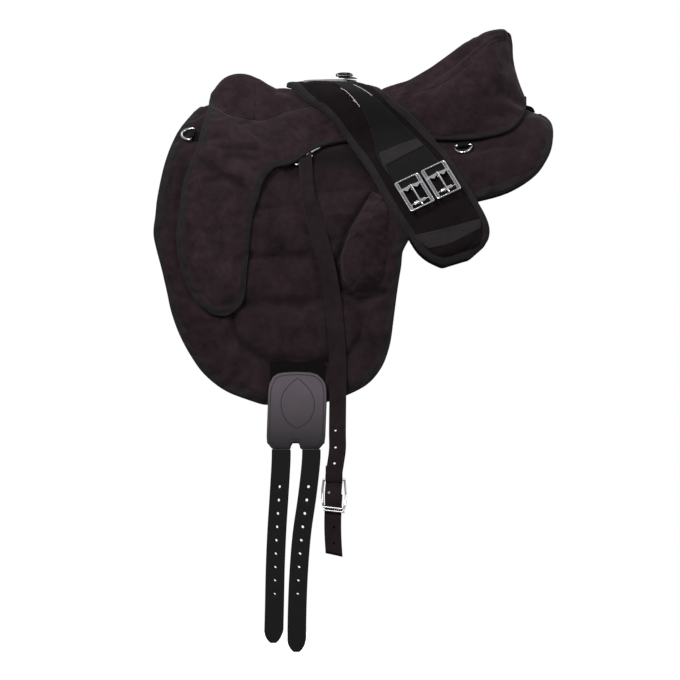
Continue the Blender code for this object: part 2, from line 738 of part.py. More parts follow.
def build_hanger_webbing():
    """Webbing over the pad from one hanger ring to the other, turned round both upper bars."""
    lift = tab_lift() - tab_radius()
    steps = 14
    x_way = Vector((1, 0, 0))
    halves = []
    for side in SIDES.values():
        _, along, out, up = hanger_frame(side)
        upper = upper_bar_centre(side)
        turn = [upper + up * TAB_RETURN + out * tab_radius()] + bend_round(upper, out, -up, tab_radius())
        start = lay_on_back(upper, lift, side)
        drop = drop_at(start.x, start.z, lift)
        run = [on_section(start.x * (1 - step / steps), drop * (1 - step / steps), lift, side)
               for step in range(2, steps)]
        acrosses = [(along * (1 - step / steps) + x_way * step / steps).normalized()
                    for step in range(2, steps)]
        halves.append((turn + run, [along] * len(turn) + acrosses,
                       [None] * len(turn) + [(lift, side)] * len(run)))
    crown = ([Vector((0, 0, spine_height(0) + lift))], [x_way], [(lift, 0)])
    path, acrosses, laid = (near + middle + off[::-1] for near, middle, off in zip(halves[0], crown, halves[1]))
    return band("hanger_webbing", path, acrosses, WEB_HALF_WIDTH, WEB_THICK, WEBBING, laid=laid)


# Stirrup strap, its buckle and loop

def strap_hang():
    """Lift of the strap's middle where it hangs clear below the flap."""
    return PAD_THICK + LAYER_GAP + STRAP_THICK / 2


def stirrup_bar(side):
    """Centre of the stirrup buckle's top bar, and the way it hangs."""
    centre = on_back(BUCKLE_BAR_SHARES, strap_hang() + strap_radius(), side)
    return centre, Vector((0, side, 0)), Vector((0, 0, -1))


def build_stirrup_strap(side_name):
    """Strap from the hanger ring's lower bar to the stirrup buckle's top bar."""
    side = SIDES[side_name]
    centre, along, out, up = hanger_frame(side)
    radius = strap_radius()
    downwards = (on_back(STRAP_SHARES[0], hanger_lift(), side) - centre).normalized()
    points = [centre + downwards * STRAP_RETURN - out * radius] + bend_round(centre, -out, up, radius)
    laid = [(strap_hang(), side)] + [None] * (len(points) - 1)
    acrosses = [along] * len(points)
    bar, bar_out, down = stirrup_bar(side)
    x_way = Vector((1, 0, 0))
    runs = 15
    start_share = 0.02
    for step in range(runs):
        share = start_share + (1 - start_share) * step / (runs - 1)
        raised = 1 - smooth_step(share * 6) + smooth_step((share - 0.8) / 0.2)
        lift = strap_hang() + 2 * radius * raised
        points.append(on_back(read_table(STRAP_SHARES, share), lift, side))
        laid.append((lift, side))
        turn = smooth_step(share * 3)
        acrosses.append((along * (1 - turn) + x_way * turn).normalized())
    end = [bar - down * STRAP_RETURN / 2 + bar_out * radius] + bend_round(bar, bar_out, down, radius)
    end.append(bar - down * STRAP_RETURN - bar_out * radius)
    name = f"stirrup_strap_{side_name}"
    return band(name, points + end, acrosses + [x_way] * len(end), STRAP_HALF_WIDTH, STRAP_THICK,
                STRAP_SUEDE, centre, laid + [None] * len(end))


def build_stirrup_buckle(side_name):
    side = SIDES[side_name]
    bar, out, down = stirrup_bar(side)
    x_way = Vector((1, 0, 0))
    half = frame_half_width(STRAP_HALF_WIDTH, ROD_RADIUS)
    frame = rounded_frame(bar, x_way, down, half, STIRRUP_BUCKLE_DEPTH, 2 * ROD_RADIUS)
    name = f"stirrup_buckle_{side_name}"
    return add_object(name, rod_mesh(name, frame, ROD_RADIUS), CHROME, bar)


def build_stirrup_loop(side_name):
    """Loop of strap round the buckle's lower bar, which takes the stirrup."""
    side = SIDES[side_name]
    bar, out, down = stirrup_bar(side)
    low_bar = bar + down * STIRRUP_BUCKLE_DEPTH
    radius = strap_radius()
    x_way = Vector((1, 0, 0))
    up_reach = STIRRUP_BUCKLE_DEPTH / 2
    foot = low_bar + down * (LOOP_LENGTH - LOOP_HALF_GAP)
    widen = low_bar + down * LOOP_LENGTH / 3
    points = [low_bar - down * up_reach + out * radius]
    points += [low_bar + out * radius, widen + out * LOOP_HALF_GAP]
    points += bend_round(foot, out, down, LOOP_HALF_GAP)
    points += [widen - out * LOOP_HALF_GAP, low_bar - out * radius, low_bar - down * up_reach - out * radius]
    name = f"stirrup_loop_{side_name}"
    return band(name, points, [x_way] * len(points), STRAP_HALF_WIDTH, STRAP_THICK, STRAP_SUEDE, bar)


# Girth carrier, patch and billets

def carrier_lift():
    return PAD_THICK + LAYER_GAP


def patch_lift():
    return carrier_lift() + CARRIER_THICK + LAYER_GAP


def patch_edge():
    """Heights of the patch's top and foot in side elevation."""
    top = side_place(PATCH_SHARES)[1]
    return top, top - PATCH_HEIGHT


def build_girth_carrier(side_name):
    side = SIDES[side_name]
    middle = side_place(PATCH_SHARES)[0]
    top = side_place((0, CARRIER_TOP_SHARE))[1]
    foot = patch_edge()[1] + PATCH_CORNER
    rows = 5

    def place(across, down, is_outer):
        x = middle + CARRIER_HALF_WIDTH * (across - 1)
        z = top + (foot - top) * down / rows
        lift = carrier_lift() + (CARRIER_THICK if is_outer else 0)
        return on_section(x, drop_at(x, z, carrier_lift()), lift, side)

    return grid_solid(f"girth_carrier_{side_name}", 2, rows, place, SUEDE_DARK)


def build_billet_patch(side_name):
    """Leather patch with rounded top corners, chamfered foot and a notch between the billets."""
    side = SIDES[side_name]
    middle = side_place(PATCH_SHARES)[0]
    top, foot = patch_edge()
    half = PATCH_HALF_WIDTH
    corner = PATCH_CORNER
    outline = []
    for sign in (-1, 1):
        spots = [(sign * half, foot + corner), (sign * half, top - corner)]
        for step in range(1, 4):
            angle = math.pi / 2 * step / 3
            spots.append((sign * (half - corner + corner * math.cos(angle)),
                          top - corner + corner * math.sin(angle)))
        notch = [(sign * NOTCH_HALF_WIDTH, foot + NOTCH_HALF_WIDTH), (sign * NOTCH_HALF_WIDTH, foot),
                 (sign * (half - corner), foot)]
        chain = notch + spots
        outline += chain if sign < 0 else chain[::-1]
    outline.append((0, foot + NOTCH_DEPTH))
    bm = bmesh.new()
    faces = {}
    for lift in (patch_lift(), patch_lift() + PATCH_THICK):
        verts = []
        for x, z in outline:
            drop = drop_at(middle + x, z, patch_lift())
            verts.append(bm.verts.new(on_section(middle + x, drop, lift, side)))
        faces[lift] = bm.faces.new(verts)
    rings = [list(face.edges) for face in faces.values()]
    bmesh.ops.bridge_loops(bm, edges=rings[0] + rings[1])
    bmesh.ops.triangulate(bm, faces=bm.faces[:])
    face_outwards(bm)
    name = f"billet_patch_{side_name}"
    mesh = bpy.data.meshes.new(name)
    bm.to_mesh(mesh)
    bm.free()
    return add_object(name, mesh, LEATHER)


def billet_axis(side, index):
    """Point on the fold line where a billet leaves the patch."""
    x = side_place(BILLET_SHARES[index][0])[0]
    z = patch_edge()[1] - BILLET_THICK / 2 - GAP
    lift = patch_lift() + PATCH_THICK / 2
    return on_section(x, drop_at(x, z, lift), lift, side)


def build_billet(side_name, index):
    """Pointed leather billet with a row of punched holes, hung from the patch's foot."""
    side = SIDES[side_name]
    pivot = billet_axis(side, index)
    lift = patch_lift() + PATCH_THICK / 2
    table = BILLET_SHARES[index]
    end = side_place(table[-1])[1]
    length = pivot.z - end

    def middle(z):
        share = (pivot.z - z) / length
        x = side_place(read_table(table, min(max(share, 0), 1)))[0]
        return on_section(x, drop_at(x, z, lift), lift, side)

    knuckle = BILLET_THICK / 2
    heights = [pivot.z + knuckle * math.sin(math.pi / 2 * step / 3) for step in (2.7, 2, 1)]
    halves = [knuckle * math.cos(math.pi / 2 * step / 3) for step in (2.7, 2, 1)]
    runs = 10
    body = [pivot.z - (length - BILLET_TIP) * step / runs for step in range(runs + 1)]
    heights += body
    halves += [knuckle] * len(body)
    taper = [1] * len(heights)
    for share, width in ((0.45, 0.90), (0.8, 0.58), (1, 0.30)):
        heights.append(end + BILLET_TIP * (1 - share))
        halves.append(knuckle)
        taper.append(width)

    def place(across, down, is_outer):
        point = middle(heights[down])
        face = Vector((0, side * (halves[down] if is_outer else -halves[down]), 0))
        return point + Vector((BILLET_HALF_WIDTH * taper[down] * (across - 1), 0, 0)) + face

    name = f"billet_{'front' if index == 0 else 'rear'}_{side_name}"
    billet = grid_solid(name, 2, len(heights) - 1, place, LEATHER, pivot)
    bm = bmesh.new()
    for hole in range(BILLET_HOLES):
        spot = middle(pivot.z - HOLE_START - HOLE_PITCH * hole)
        turn = Matrix.Rotation(math.pi / 2, 3, "X")
        matrix = Matrix.Translation(spot - pivot) @ turn.to_4x4()
        bmesh.ops.create_cone(bm, cap_ends=True, segments=6, radius1=HOLE_RADIUS, radius2=HOLE_RADIUS,
                              depth=3 * BILLET_THICK, matrix=matrix)
    mesh = bpy.data.meshes.new(f"{name}_punch")
    bm.to_mesh(mesh)
    bm.free()
    punch = bpy.data.objects.new(f"{name}_punch", mesh)
    punch.location = pivot
    punch.hide_render = True
    punch.display_type = "WIRE"
    bpy.context.scene.collection.objects.link(punch)
    cut = billet.modifiers.new("holes", "BOOLEAN")
    cut.operation = "DIFFERENCE"
    cut.object = punch
    return billet


# Girth laid across the seat

def saddle_surface():
    """Search tree over the outer surfaces that the girth rests against, on the near side."""
    bm = bmesh.new()
    names = ("seat_cover", "pad_near", "thigh_block_near", "rear_ring_near", "rear_tab_near")
    depsgraph = bpy.context.evaluated_depsgraph_get()
    for name in names:
        shape = bpy.data.objects[name].evaluated_get(depsgraph)
        mesh = shape.to_mesh()
        mesh.transform(shape.matrix_world)
        bm.from_mesh(mesh)
        shape.to_mesh_clear()
    bmesh.ops.triangulate(bm, faces=bm.faces[:])
    tree = BVHTree.FromBMesh(bm)
    bm.free()
    return tree


def girth_under_grid():
    """Underside of the girth's near half: crest rows lie on the seat's top, the rest against
    its side."""
    tree = saddle_surface()
    far = SADDLE_LENGTH
    grid = []
    for row in range(GIRTH_ROWS + 1):
        share = row / GIRTH_ROWS
        front = read_table(GIRTH_FRONT_SHARES, share)
        rear = read_table(GIRTH_REAR_SHARES, share)
        crest_share = share * (len(GIRTH_FRONT_SHARES) - 1) / (len(GIRTH_CREST_REACHES) - 1)
        y = read_table(GIRTH_CREST_REACHES, min(crest_share, 1))
        line = []
        for column in range(GIRTH_COLUMNS + 1):
            part = column / GIRTH_COLUMNS
            x, z = side_place([a + (b - a) * part for a, b in zip(front, rear)])
            top_hit = tree.ray_cast(Vector((x, -y, far)), Vector((0, 0, -1)))[0]
            side_hit = tree.ray_cast(Vector((x, -far, z)), Vector((0, 1, 0)))[0]
            wall = on_section(x, drop_at(x, z, PAD_THICK), PAD_THICK, -1)
            flank = Vector((x, min(wall.y, side_hit.y if side_hit else 0), z))
            turn = smooth_step(2 * crest_share - 1) if top_hit else 1
            line.append(flank if turn == 1 else Vector((x, -y, top_hit.z)).lerp(flank, turn))
        grid.append(line)
    for _ in range(4):
        grid = smooth_grid(grid)
    press_off(grid, tree)
    for point, beside in zip(grid[0], grid[1]):
        point.z = max(point.z, beside.z + GIRTH_EASE)
    return grid


def smooth_grid(grid):
    """Ease each point in height and width towards its neighbours along the girth."""
    eased = [grid[0]]
    for row in range(1, GIRTH_ROWS):
        line = []
        for before, point, after in zip(grid[row - 1], grid[row], grid[row + 1]):
            mean = (before + after) / 2
            line.append(Vector((point.x, (point.y + mean.y) / 2, (point.z + mean.z) / 2)))
        eased.append(line)
    return eased + [grid[-1]]


def press_off(grid, tree):
    """Move the girth's underside out until it clears the saddle everywhere."""
    far = SADDLE_LENGTH / 8
    shares = (0, 0.25, 0.5, 0.75, 1)
    for _ in range(PRESS_ROUNDS):
        moves = {}
        for row in range(GIRTH_ROWS):
            for column in range(GIRTH_COLUMNS):
                keys = ((row, column), (row, column + 1), (row + 1, column + 1), (row + 1, column))
                spots = [grid[at][over] for at, over in keys]
                normal = (spots[2] - spots[0]).cross(spots[3] - spots[1]).normalized()
                if normal.dot(Vector((0, -1, 1))) < 0:
                    normal = -normal
                for across in shares:
                    for down in shares:
                        weights = ((1 - across) * (1 - down), across * (1 - down), across * down,
                                   (1 - across) * down)
                        spot = sum((corner * weight for corner, weight in zip(spots, weights)), Vector())
                        hit = tree.ray_cast(spot + normal * far, -normal)[0]
                        short = GIRTH_EASE - (spot - hit).dot(normal) if hit else 0
                        if short <= 0:
                            continue
                        spread = sum(weight * weight for weight in weights)
                        for key, weight in zip(keys, weights):
                            move = normal * short * weight / spread
                            if move.length > moves.get(key, Vector()).length:
                                moves[key] = move
        for (row, column), move in moves.items():
            grid[row][column] += move
            if row == 0:
                grid[row][column].y = 0


class Girth:
    """The girth's surface by shares: along from its crest to its end, across from its front
    edge to its rear edge."""

    def __init__(self, grid):
        self.grid = grid

    def under(self, along, across, side):
        rows = [read_table([tuple(point) for point in line], across) for line in self.grid]
        x, y, z = read_table(rows, along)
        return Vector((x, abs(y) * side, z))

    def frame(self, along, across, side):
        """Point, outward normal and lengthwise direction."""
        step = DRAW_STEP_SHARE
        low = max(along - step, 0)
        down = self.under(min(along + step, 1), across, side) - self.under(low, across, side)
        over = (self.under(along, min(across + step, 1), side)
                - self.under(along, max(across - step, 0), side))
        normal = down.cross(over)
        if normal.dot(Vector((0, side, 1))) < 0:
            normal = -normal
        if along == 0:
            normal.y = 0
            down.y = side * abs(down.y)
            down.z = 0
        return self.under(along, across, side), normal.normalized(), down.normalized()

    def thickness(self, along, across):
        edge = smooth_step(min(across, 1 - across) * 4)
        end = smooth_step((1 - along) * 8)
        return GIRTH_EDGE + (GIRTH_THICK - GIRTH_EDGE) * min(edge, end)

    def at(self, along, across, side, lift=0):
        point, normal, _ = self.frame(along, across, side)
        return point + normal * (self.thickness(along, across) + lift)


def build_girth_pad(girth):
    rows = 2 * GIRTH_ROWS

    def place(across, down, is_outer):
        side = -1 if down > GIRTH_ROWS else 1
        along = abs(down - GIRTH_ROWS) / GIRTH_ROWS
        part = across / GIRTH_COLUMNS
        point = girth.at(along, part, side) if is_outer else girth.under(along, part, side)
        return point

    return grid_solid("girth_pad", GIRTH_COLUMNS, rows, place, SUEDE_DARK)


def buckle_frame_at(girth, side, index):
    """Top bar centre, across way, down way and outward way of one girth buckle."""
    _, normal, down = girth.frame(*BUCKLE_PLACE_SHARES, side)
    over = down.cross(normal).normalized()
    if over.x < 0:
        over = -over
    offset = BUCKLE_SPACING if index else -BUCKLE_SPACING
    lift = web_lift() + GIRTH_WEB_THICK / 2 + girth_web_radius()
    return girth.at(*BUCKLE_PLACE_SHARES, side, lift) + over * offset, over, down, normal


def girth_web_radius():
    return BUCKLE_ROD + ROD_GAP + GIRTH_WEB_THICK / 2


def web_lift():
    """Lift of the webbing's underside over the girth's padding."""
    return 2 * LAYER_GAP


def build_girth_webbing(girth, side_name):
    """Webbing from the girth's crest, split into two tails that turn round the top bars of
    both buckles."""
    side = SIDES[side_name]
    inner = BUCKLE_SPACING - TAIL_HALF_WIDTH
    outer = BUCKLE_SPACING + TAIL_HALF_WIDTH
    offsets = (-outer, -BUCKLE_SPACING, -inner, 0, inner, BUCKLE_SPACING, outer)
    columns = len(offsets) - 1
    centre, over, down, out = buckle_frame_at(girth, side, 1)
    centre -= over * BUCKLE_SPACING
    radius = girth_web_radius()
    turn = bend_round(centre, -out, down, radius)
    turn.append(centre - down * TAIL_RETURN + out * (radius + GIRTH_WEB_THICK))
    laid = len(WEB_ROW_SHARES)
    last = laid + len(turn) - 1

    def place(across, row, is_outer):
        face = GIRTH_WEB_THICK / 2 if is_outer else -GIRTH_WEB_THICK / 2
        if row < laid:
            along = WEB_ROW_SHARES[row]
            low, high = read_table(WEB_EDGE_SHARES, along)
            share = low + (high - low) * (offsets[across] / outer + 1) / 2
            return girth.at(along, share, side, web_lift() + GIRTH_WEB_THICK / 2 + face)
        index = row - laid
        before = turn[index - 1] if index else centre - down * radius - out * radius
        after = turn[min(index + 1, len(turn) - 1)]
        normal = over.cross(after - before).normalized()
        if index == 0 and normal.dot(out) < 0:
            normal = -normal
        if index and normal.dot(turn[index] - centre) > 0:
            normal = -normal
        return turn[index] + over * offsets[across] + normal * face

    def is_open(across, row):
        return across in (2, 3) and row >= laid - 1

    name = f"girth_webbing_{side_name}"
    return grid_solid(name, columns, last, place, WEBBING, is_open=is_open)


def build_girth_keeper(girth, side_name):
    """Cross band that holds the webbing down above the buckles."""
    side = SIDES[side_name]
    columns = 10
    rows = len(KEEPER_ROW_SHARES) - 1
    low = web_lift() + GIRTH_WEB_THICK + LAYER_GAP

    def place(across, down, is_outer):
        along = KEEPER_ROW_SHARES[down]
        share = KEEPER_EDGE_SHARES[0] + (KEEPER_EDGE_SHARES[1] - KEEPER_EDGE_SHARES[0]) * across / columns
        return girth.at(along, share, side, low + (KEEPER_THICK if is_outer else 0))

    return grid_solid(f"girth_keeper_{side_name}", columns, rows, place, SUEDE_DARK)


def build_girth_buckle(girth, side_name, index):
    """Frame with a pin bar and a rest bar, a roller on its end bar and a tongue."""
    side = SIDES[side_name]
    centre, over, down, out = buckle_frame_at(girth, side, index)
    label = f"{'rear' if index else 'front'}_{side_name}"
    frame = rounded_frame(centre, over, down, BUCKLE_HALF_WIDTH, BUCKLE_DEPTH, 2 * BUCKLE_ROD)
    meshes = [rod_mesh("frame", frame, BUCKLE_ROD)]
    bar_half = over * BUCKLE_HALF_WIDTH
    bar_rod = BUCKLE_ROD * 0.8
    for share in (BUCKLE_PIN_SHARE, BUCKLE_REST_SHARE):
        spot = centre + down * BUCKLE_DEPTH * share
        meshes.append(rod_mesh("bar", [spot - bar_half, spot + bar_half], bar_rod, False))
    name = f"girth_buckle_{label}"
    add_object(name, join_meshes(name, meshes), CHROME)
    build_roller(f"girth_roller_{label}", centre + down * BUCKLE_DEPTH, over, out)
    pin = centre + down * BUCKLE_DEPTH * BUCKLE_PIN_SHARE
    hook = bar_rod + ROD_GAP + TONGUE_RADIUS
    reach = BUCKLE_DEPTH * (1 - BUCKLE_PIN_SHARE)
    rest = BUCKLE_ROD + 2 * ROD_GAP + ROLLER_WALL + TONGUE_RADIUS
    path = [pin + down * hook - out * hook] + bend_round(pin, -out, -down, hook)
    path += [pin + down * reach / 2 + out * rest, pin + down * (reach + hook) + out * rest]
    name = f"girth_tongue_{label}"
    add_object(name, rod_mesh(name, path, TONGUE_RADIUS, False), CHROME, pin)


def build_roller(name, centre, along, out):
    """Thin tube that turns on a buckle's end bar."""
    inner = BUCKLE_ROD + ROD_GAP
    outer = inner + ROLLER_WALL
    half = ROLLER_LENGTH / 2
    sides = 12
    up = along.cross(out)
    bm = bmesh.new()
    rings = []
    for radius, level in ((inner, -half), (outer, -half), (outer, half), (inner, half)):
        ring = []
        for step in range(sides):
            angle = 2 * math.pi * step / sides
            way = out * math.cos(angle) + up * math.sin(angle)
            ring.append(bm.verts.new(along * level + way * radius))
        rings.append(ring)
    for ring, following in zip(rings, rings[1:] + rings[:1]):
        for step in range(sides):
            ahead = (step + 1) % sides
            bm.faces.new((ring[step], ring[ahead], following[ahead], following[step]))
    face_outwards(bm)
    mesh = bpy.data.meshes.new(name)
    bm.to_mesh(mesh)
    bm.free()
    roller = add_object(name, mesh, CHROME)
    roller.location = centre
    return roller


def build_girth_ring(girth):
    """Ring at the girth's middle, in a webbing tab that is sewn over the crest."""
    radius = tab_radius()
    ply = web_lift() + GIRTH_WEB_THICK + LAYER_GAP + WEB_THICK / 2
    middle = sum(WEB_EDGE_SHARES[0]) / 2
    centre = girth.at(0, middle, 1, ply + radius)
    along = Vector((1, 0, 0))
    out = Vector((0, 0, 1))
    away = Vector((0, 1, 0))
    path = [girth.at(TAB_SHARE * step, middle, -1, ply) for step in (1, 0.5)]
    path += bend_round(centre, -out, away, radius)
    path.append(centre - away * TAB_RETURN + out * radius)
    band("girth_ring_tab", path, [along] * len(path), TAB_HALF_WIDTH, WEB_THICK, WEBBING)
    bow = away * math.cos(GIRTH_RING_TILT) + out * math.sin(GIRTH_RING_TILT)
    d_ring("girth_ring", centre, along, bow, GIRTH_RING_HALF, GIRTH_RING_DEPTH)


def build_cantle_tab():
    """Webbing tab on the spine behind the cantle."""
    steps = 4
    start, end = (side_place((share, 0))[0] for share in CANTLE_TAB_SHARES)
    rear = side_place((PAD_ROW_SHARES[0][2], 0))[0]
    points = []
    for step in range(steps + 1):
        x = start + (end - start) * step / steps
        padding = PAD_EDGE + (PAD_THICK - PAD_EDGE) * smooth_step((rear - x) / PAD_ROUND)
        lift = padding / math.cos(SPINE_TILT) + LAYER_GAP + WEB_THICK / 2
        points.append(Vector((x, 0, spine_height(x) + lift)))
    acrosses = [Vector((0, 1, 0))] * len(points)
    return band("cantle_tab", points, acrosses, TAB_HALF_WIDTH, WEB_THICK, WEBBING)


def build_spine_strip():
    """Strip along the underside that joins the two pads over the spine."""
    steps = 16
    front = side_place((PAD_ROW_SHARES[0][0], 0))[0]
    rear = side_place((PAD_ROW_SHARES[0][2], 0))[0]

    def place(across, down, is_outer):
        x = front + (rear - front) * down / steps
        lift = -STRIP_GAP if is_outer else -STRIP_GAP - STRIP_THICK
        if across == 1:
            return Vector((x, 0, spine_height(x) + lift))
        return on_section(x, STRIP_DROP, lift, across - 1)

    return grid_solid("spine_strip", 2, steps, place, SUEDE_DARK)


def build_underpanel(side_name):
    """Cushion along the underside beside the spine, which keeps the spine clear."""
    side = SIDES[side_name]
    outline = panel_outline(PANEL_ROW_SHARES)
    outline = outline + [outline[0]]
    columns = 18
    rows = 8

    def place(across, down, is_outer):
        share = row_point(PANEL_ROW_SHARES, down / rows, across / columns)
        x, z = side_place(share)
        fill = smooth_step(distance_to_line((x, z), outline) / PAD_ROUND)
        depth = PANEL_EDGE + (PANEL_THICK - PANEL_EDGE) * fill
        lift = -UNDER_GAP if is_outer else -UNDER_GAP - depth
        return on_section(x, share[1] * SADDLE_HEIGHT, lift, side)

    return grid_solid(f"underpanel_{side_name}", columns, rows, place, SUEDE_DARK)


def build_saddle():
    """Everything that stays with the saddle's soft body."""
    foam_lift = PAD_THICK + 2 * LAYER_GAP + WEB_THICK
    build_seat_cover()
    build_foam("pommel_foam", 2, 8, 3, PAD_THICK + 2 * LAYER_GAP + INSERT_THICK)
    build_foam("seat_foam", 8, 16, 3, foam_lift)
    build_foam("cantle_foam", 16, 20, 3, foam_lift)
    build_pommel_insert()
    build_hanger_webbing()
    build_spine_strip()
    build_cantle_tab()
    six_shares = [step / 6 for step in range(7)]
    ten_shares = [step / 10 for step in range(11)]
    pad_shares = [place / PAD_ROW_PLACES[-1] for place in PAD_ROW_PLACES]
    for side_name, side in SIDES.items():
        soft_panel(f"pad_{side_name}", side, PAD_ROW_SHARES, pad_shares, PAD_COLUMN_SHARES,
                   (0, PAD_EDGE, PAD_THICK, PAD_ROUND), SUEDE)
        soft_panel(f"knee_flap_{side_name}", side, KNEE_ROW_SHARES, ten_shares, six_shares,
                   (PAD_THICK + LAYER_GAP, KNEE_EDGE, KNEE_THICK, KNEE_ROUND), SUEDE, True)
        soft_panel(f"thigh_block_{side_name}", side, THIGH_ROW_SHARES, ten_shares, six_shares,
                   (PAD_THICK + LAYER_GAP, THIGH_EDGE, THIGH_THICK, THIGH_ROUND), SUEDE, True)
        build_underpanel(side_name)
        build_hanger_ring(side_name)
        build_edge_ring("rear", REAR_RING_SHARES, side_name, Vector((0, 0, 1)), LAYER_GAP)
        build_edge_ring("front", FRONT_RING_SHARES, side_name, Vector((1, 0, 0)), FRONT_TAB_GAP)
        build_stirrup_strap(side_name)
        build_stirrup_buckle(side_name)
        build_stirrup_loop(side_name)
        build_girth_carrier(side_name)
        build_billet_patch(side_name)
        build_billet(side_name, 0)
        build_billet(side_name, 1)


def build_girth():
    """The girth and all that rides on it."""
    girth = Girth(girth_under_grid())
    build_girth_pad(girth)
    build_girth_ring(girth)
    for side_name in SIDES:
        build_girth_webbing(girth, side_name)
        build_girth_keeper(girth, side_name)
        build_girth_buckle(girth, side_name, 0)
        build_girth_buckle(girth, side_name, 1)


def main():
    for item in list(bpy.data.objects):
        bpy.data.objects.remove(item)
    build_saddle()
    bpy.context.view_layer.update()
    build_girth()


main()
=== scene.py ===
"""The treeless saddle as it looks: padded suede, bound edges, webbing, leather and chrome."""
import json
import math

import bmesh
import bpy
from mathutils import Matrix, Vector, noise
from mathutils.bvhtree import BVHTree


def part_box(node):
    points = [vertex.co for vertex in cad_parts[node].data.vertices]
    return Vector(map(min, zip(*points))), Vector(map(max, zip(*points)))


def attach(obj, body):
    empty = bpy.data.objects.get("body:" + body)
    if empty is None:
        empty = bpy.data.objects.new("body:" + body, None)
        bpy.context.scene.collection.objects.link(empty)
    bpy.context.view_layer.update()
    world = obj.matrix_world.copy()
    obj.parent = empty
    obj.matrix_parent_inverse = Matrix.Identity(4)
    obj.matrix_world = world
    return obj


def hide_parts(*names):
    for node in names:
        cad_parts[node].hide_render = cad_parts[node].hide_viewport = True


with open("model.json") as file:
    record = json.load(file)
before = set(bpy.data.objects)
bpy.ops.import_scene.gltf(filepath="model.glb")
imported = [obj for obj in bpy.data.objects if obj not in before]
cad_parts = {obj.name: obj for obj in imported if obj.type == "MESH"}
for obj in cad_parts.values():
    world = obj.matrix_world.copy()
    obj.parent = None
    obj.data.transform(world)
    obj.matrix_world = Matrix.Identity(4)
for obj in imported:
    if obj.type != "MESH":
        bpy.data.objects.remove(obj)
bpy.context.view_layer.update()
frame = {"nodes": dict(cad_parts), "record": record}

# Side elevation: places are counted in steps of 1.65 mm, 360 steps ahead and 138 above the origin
STEP = 0.00165
LENGTH = 0.658
HEIGHT = 0.619
LOWEST_SHARE = 0.516
SPINE_SHARE = 0.293
SEAT_HALF = 0.110
BACK_RADIUS = 0.233
SPINE_TILT = math.radians(12)
SIDE_TILT = math.radians(83)
HANG_DROP = 0.540
PAD_LIFT = 0.016
COVER_LIFT = 0.0305
COVER_WALL = 0.0045
LOBE_UNDER = 0.0169
LOBE_EDGE = 0.0060
LOBE_FULL = 0.0130
RIM_SHARE = 4 / 9
LEATHER_THICK = 0.0038
NEAR = -1

CENTRE_LINE = ((0.143, 0.171), (0.175, 0.140), (0.216, 0.131), (0.261, 0.140), (0.328, 0.168),
               (0.416, 0.181), (0.541, 0.188), (0.654, 0.172), (0.747, 0.133), (0.817, 0.064),
               (0.862, 0.022), (0.882, 0.008), (0.890, 0.008))
CREST_LINE = ((0.140, 0.176), (0.175, 0.139), (0.216, 0.128), (0.261, 0.139), (0.328, 0.160),
              (0.416, 0.171), (0.536, 0.174), (0.647, 0.138), (0.732, 0.080), (0.805, 0.027),
              (0.855, 0.004), (0.880, 0.002), (0.897, 0.014))
SEAM_LINE = ((0.138, 0.195), (0.180, 0.235), (0.226, 0.243), (0.276, 0.245), (0.333, 0.221),
             (0.421, 0.203), (0.531, 0.197), (0.637, 0.173), (0.717, 0.149), (0.782, 0.104),
             (0.840, 0.045), (0.877, 0.030), (0.902, 0.042))
EDGE_LINE = ((0.113, 0.307), (0.153, 0.325), (0.206, 0.344), (0.271, 0.360), (0.333, 0.365),
             (0.421, 0.312), (0.541, 0.291), (0.679, 0.293), (0.792, 0.293), (0.875, 0.277),
             (0.912, 0.251), (0.930, 0.213), (0.935, 0.187))
CREST_HALVES = (0.20, 0.22, 0.24, 0.24, 0.24, 0.27, 0.33, 0.48, 0.54, 0.54, 0.42, 0.22, 0)
SEAM_HALVES = (0.42, 0.72, 0.78, 0.78, 0.70, 0.63, 0.62, 0.79, 0.95, 1.0, 0.83, 0.45, 0)
# Rows from the top down: front place, rear place, and the sag between them
PAD_ROWS = (
    (0.123, 0.184, 0.970, 0.213, 0), (0.090, 0.221, 0.995, 0.237, 0), (0.055, 0.275, 1.000, 0.272, 0),
    (0.028, 0.352, 0.990, 0.323, 0), (0.010, 0.445, 0.957, 0.376, 0), (0.005, 0.496, 0.887, 0.424, 0),
    (0.000, 0.547, 0.792, 0.453, 0), (0.008, 0.592, 0.692, 0.485, 0), (0.020, 0.640, 0.629, 0.573, 0),
    (0.033, 0.699, 0.617, 0.640, 0), (0.045, 0.757, 0.607, 0.707, 0), (0.065, 0.816, 0.599, 0.773, 0.008),
    (0.093, 0.872, 0.589, 0.845, 0.032), (0.128, 0.923, 0.569, 0.901, 0.021),
    (0.178, 0.963, 0.531, 0.947, 0.011), (0.241, 0.989, 0.466, 0.981, 0.005),
    (0.271, 0.999, 0.431, 0.992, 0.003))
LOBE_ROWS = (
    (0.110, 0.318, 0.326, 0.379, 0.006), (0.090, 0.371, 0.281, 0.419, 0.004),
    (0.075, 0.416, 0.256, 0.467, 0), (0.068, 0.475, 0.243, 0.523, 0), (0.058, 0.560, 0.238, 0.576, 0),
    (0.068, 0.640, 0.232, 0.651, 0), (0.088, 0.699, 0.226, 0.715, 0.004),
    (0.115, 0.741, 0.211, 0.749, 0.008), (0.145, 0.765, 0.185, 0.768, 0.003))
THIGH_ROWS = (
    (0.546, 0.437, 0.577, 0.453, 0), (0.519, 0.488, 0.587, 0.493, 0), (0.489, 0.547, 0.586, 0.555, 0),
    (0.469, 0.613, 0.582, 0.624, 0), (0.474, 0.669, 0.572, 0.677, 0), (0.499, 0.701, 0.544, 0.701, 0.005))
PANEL_ROWS = (
    (0.150, 0.014, 0.900, 0.014, 0), (0.125, 0.033, 0.925, 0.033, 0), (0.110, 0.070, 0.935, 0.065, 0),
    (0.110, 0.115, 0.915, 0.105, 0), (0.135, 0.150, 0.850, 0.140, 0))

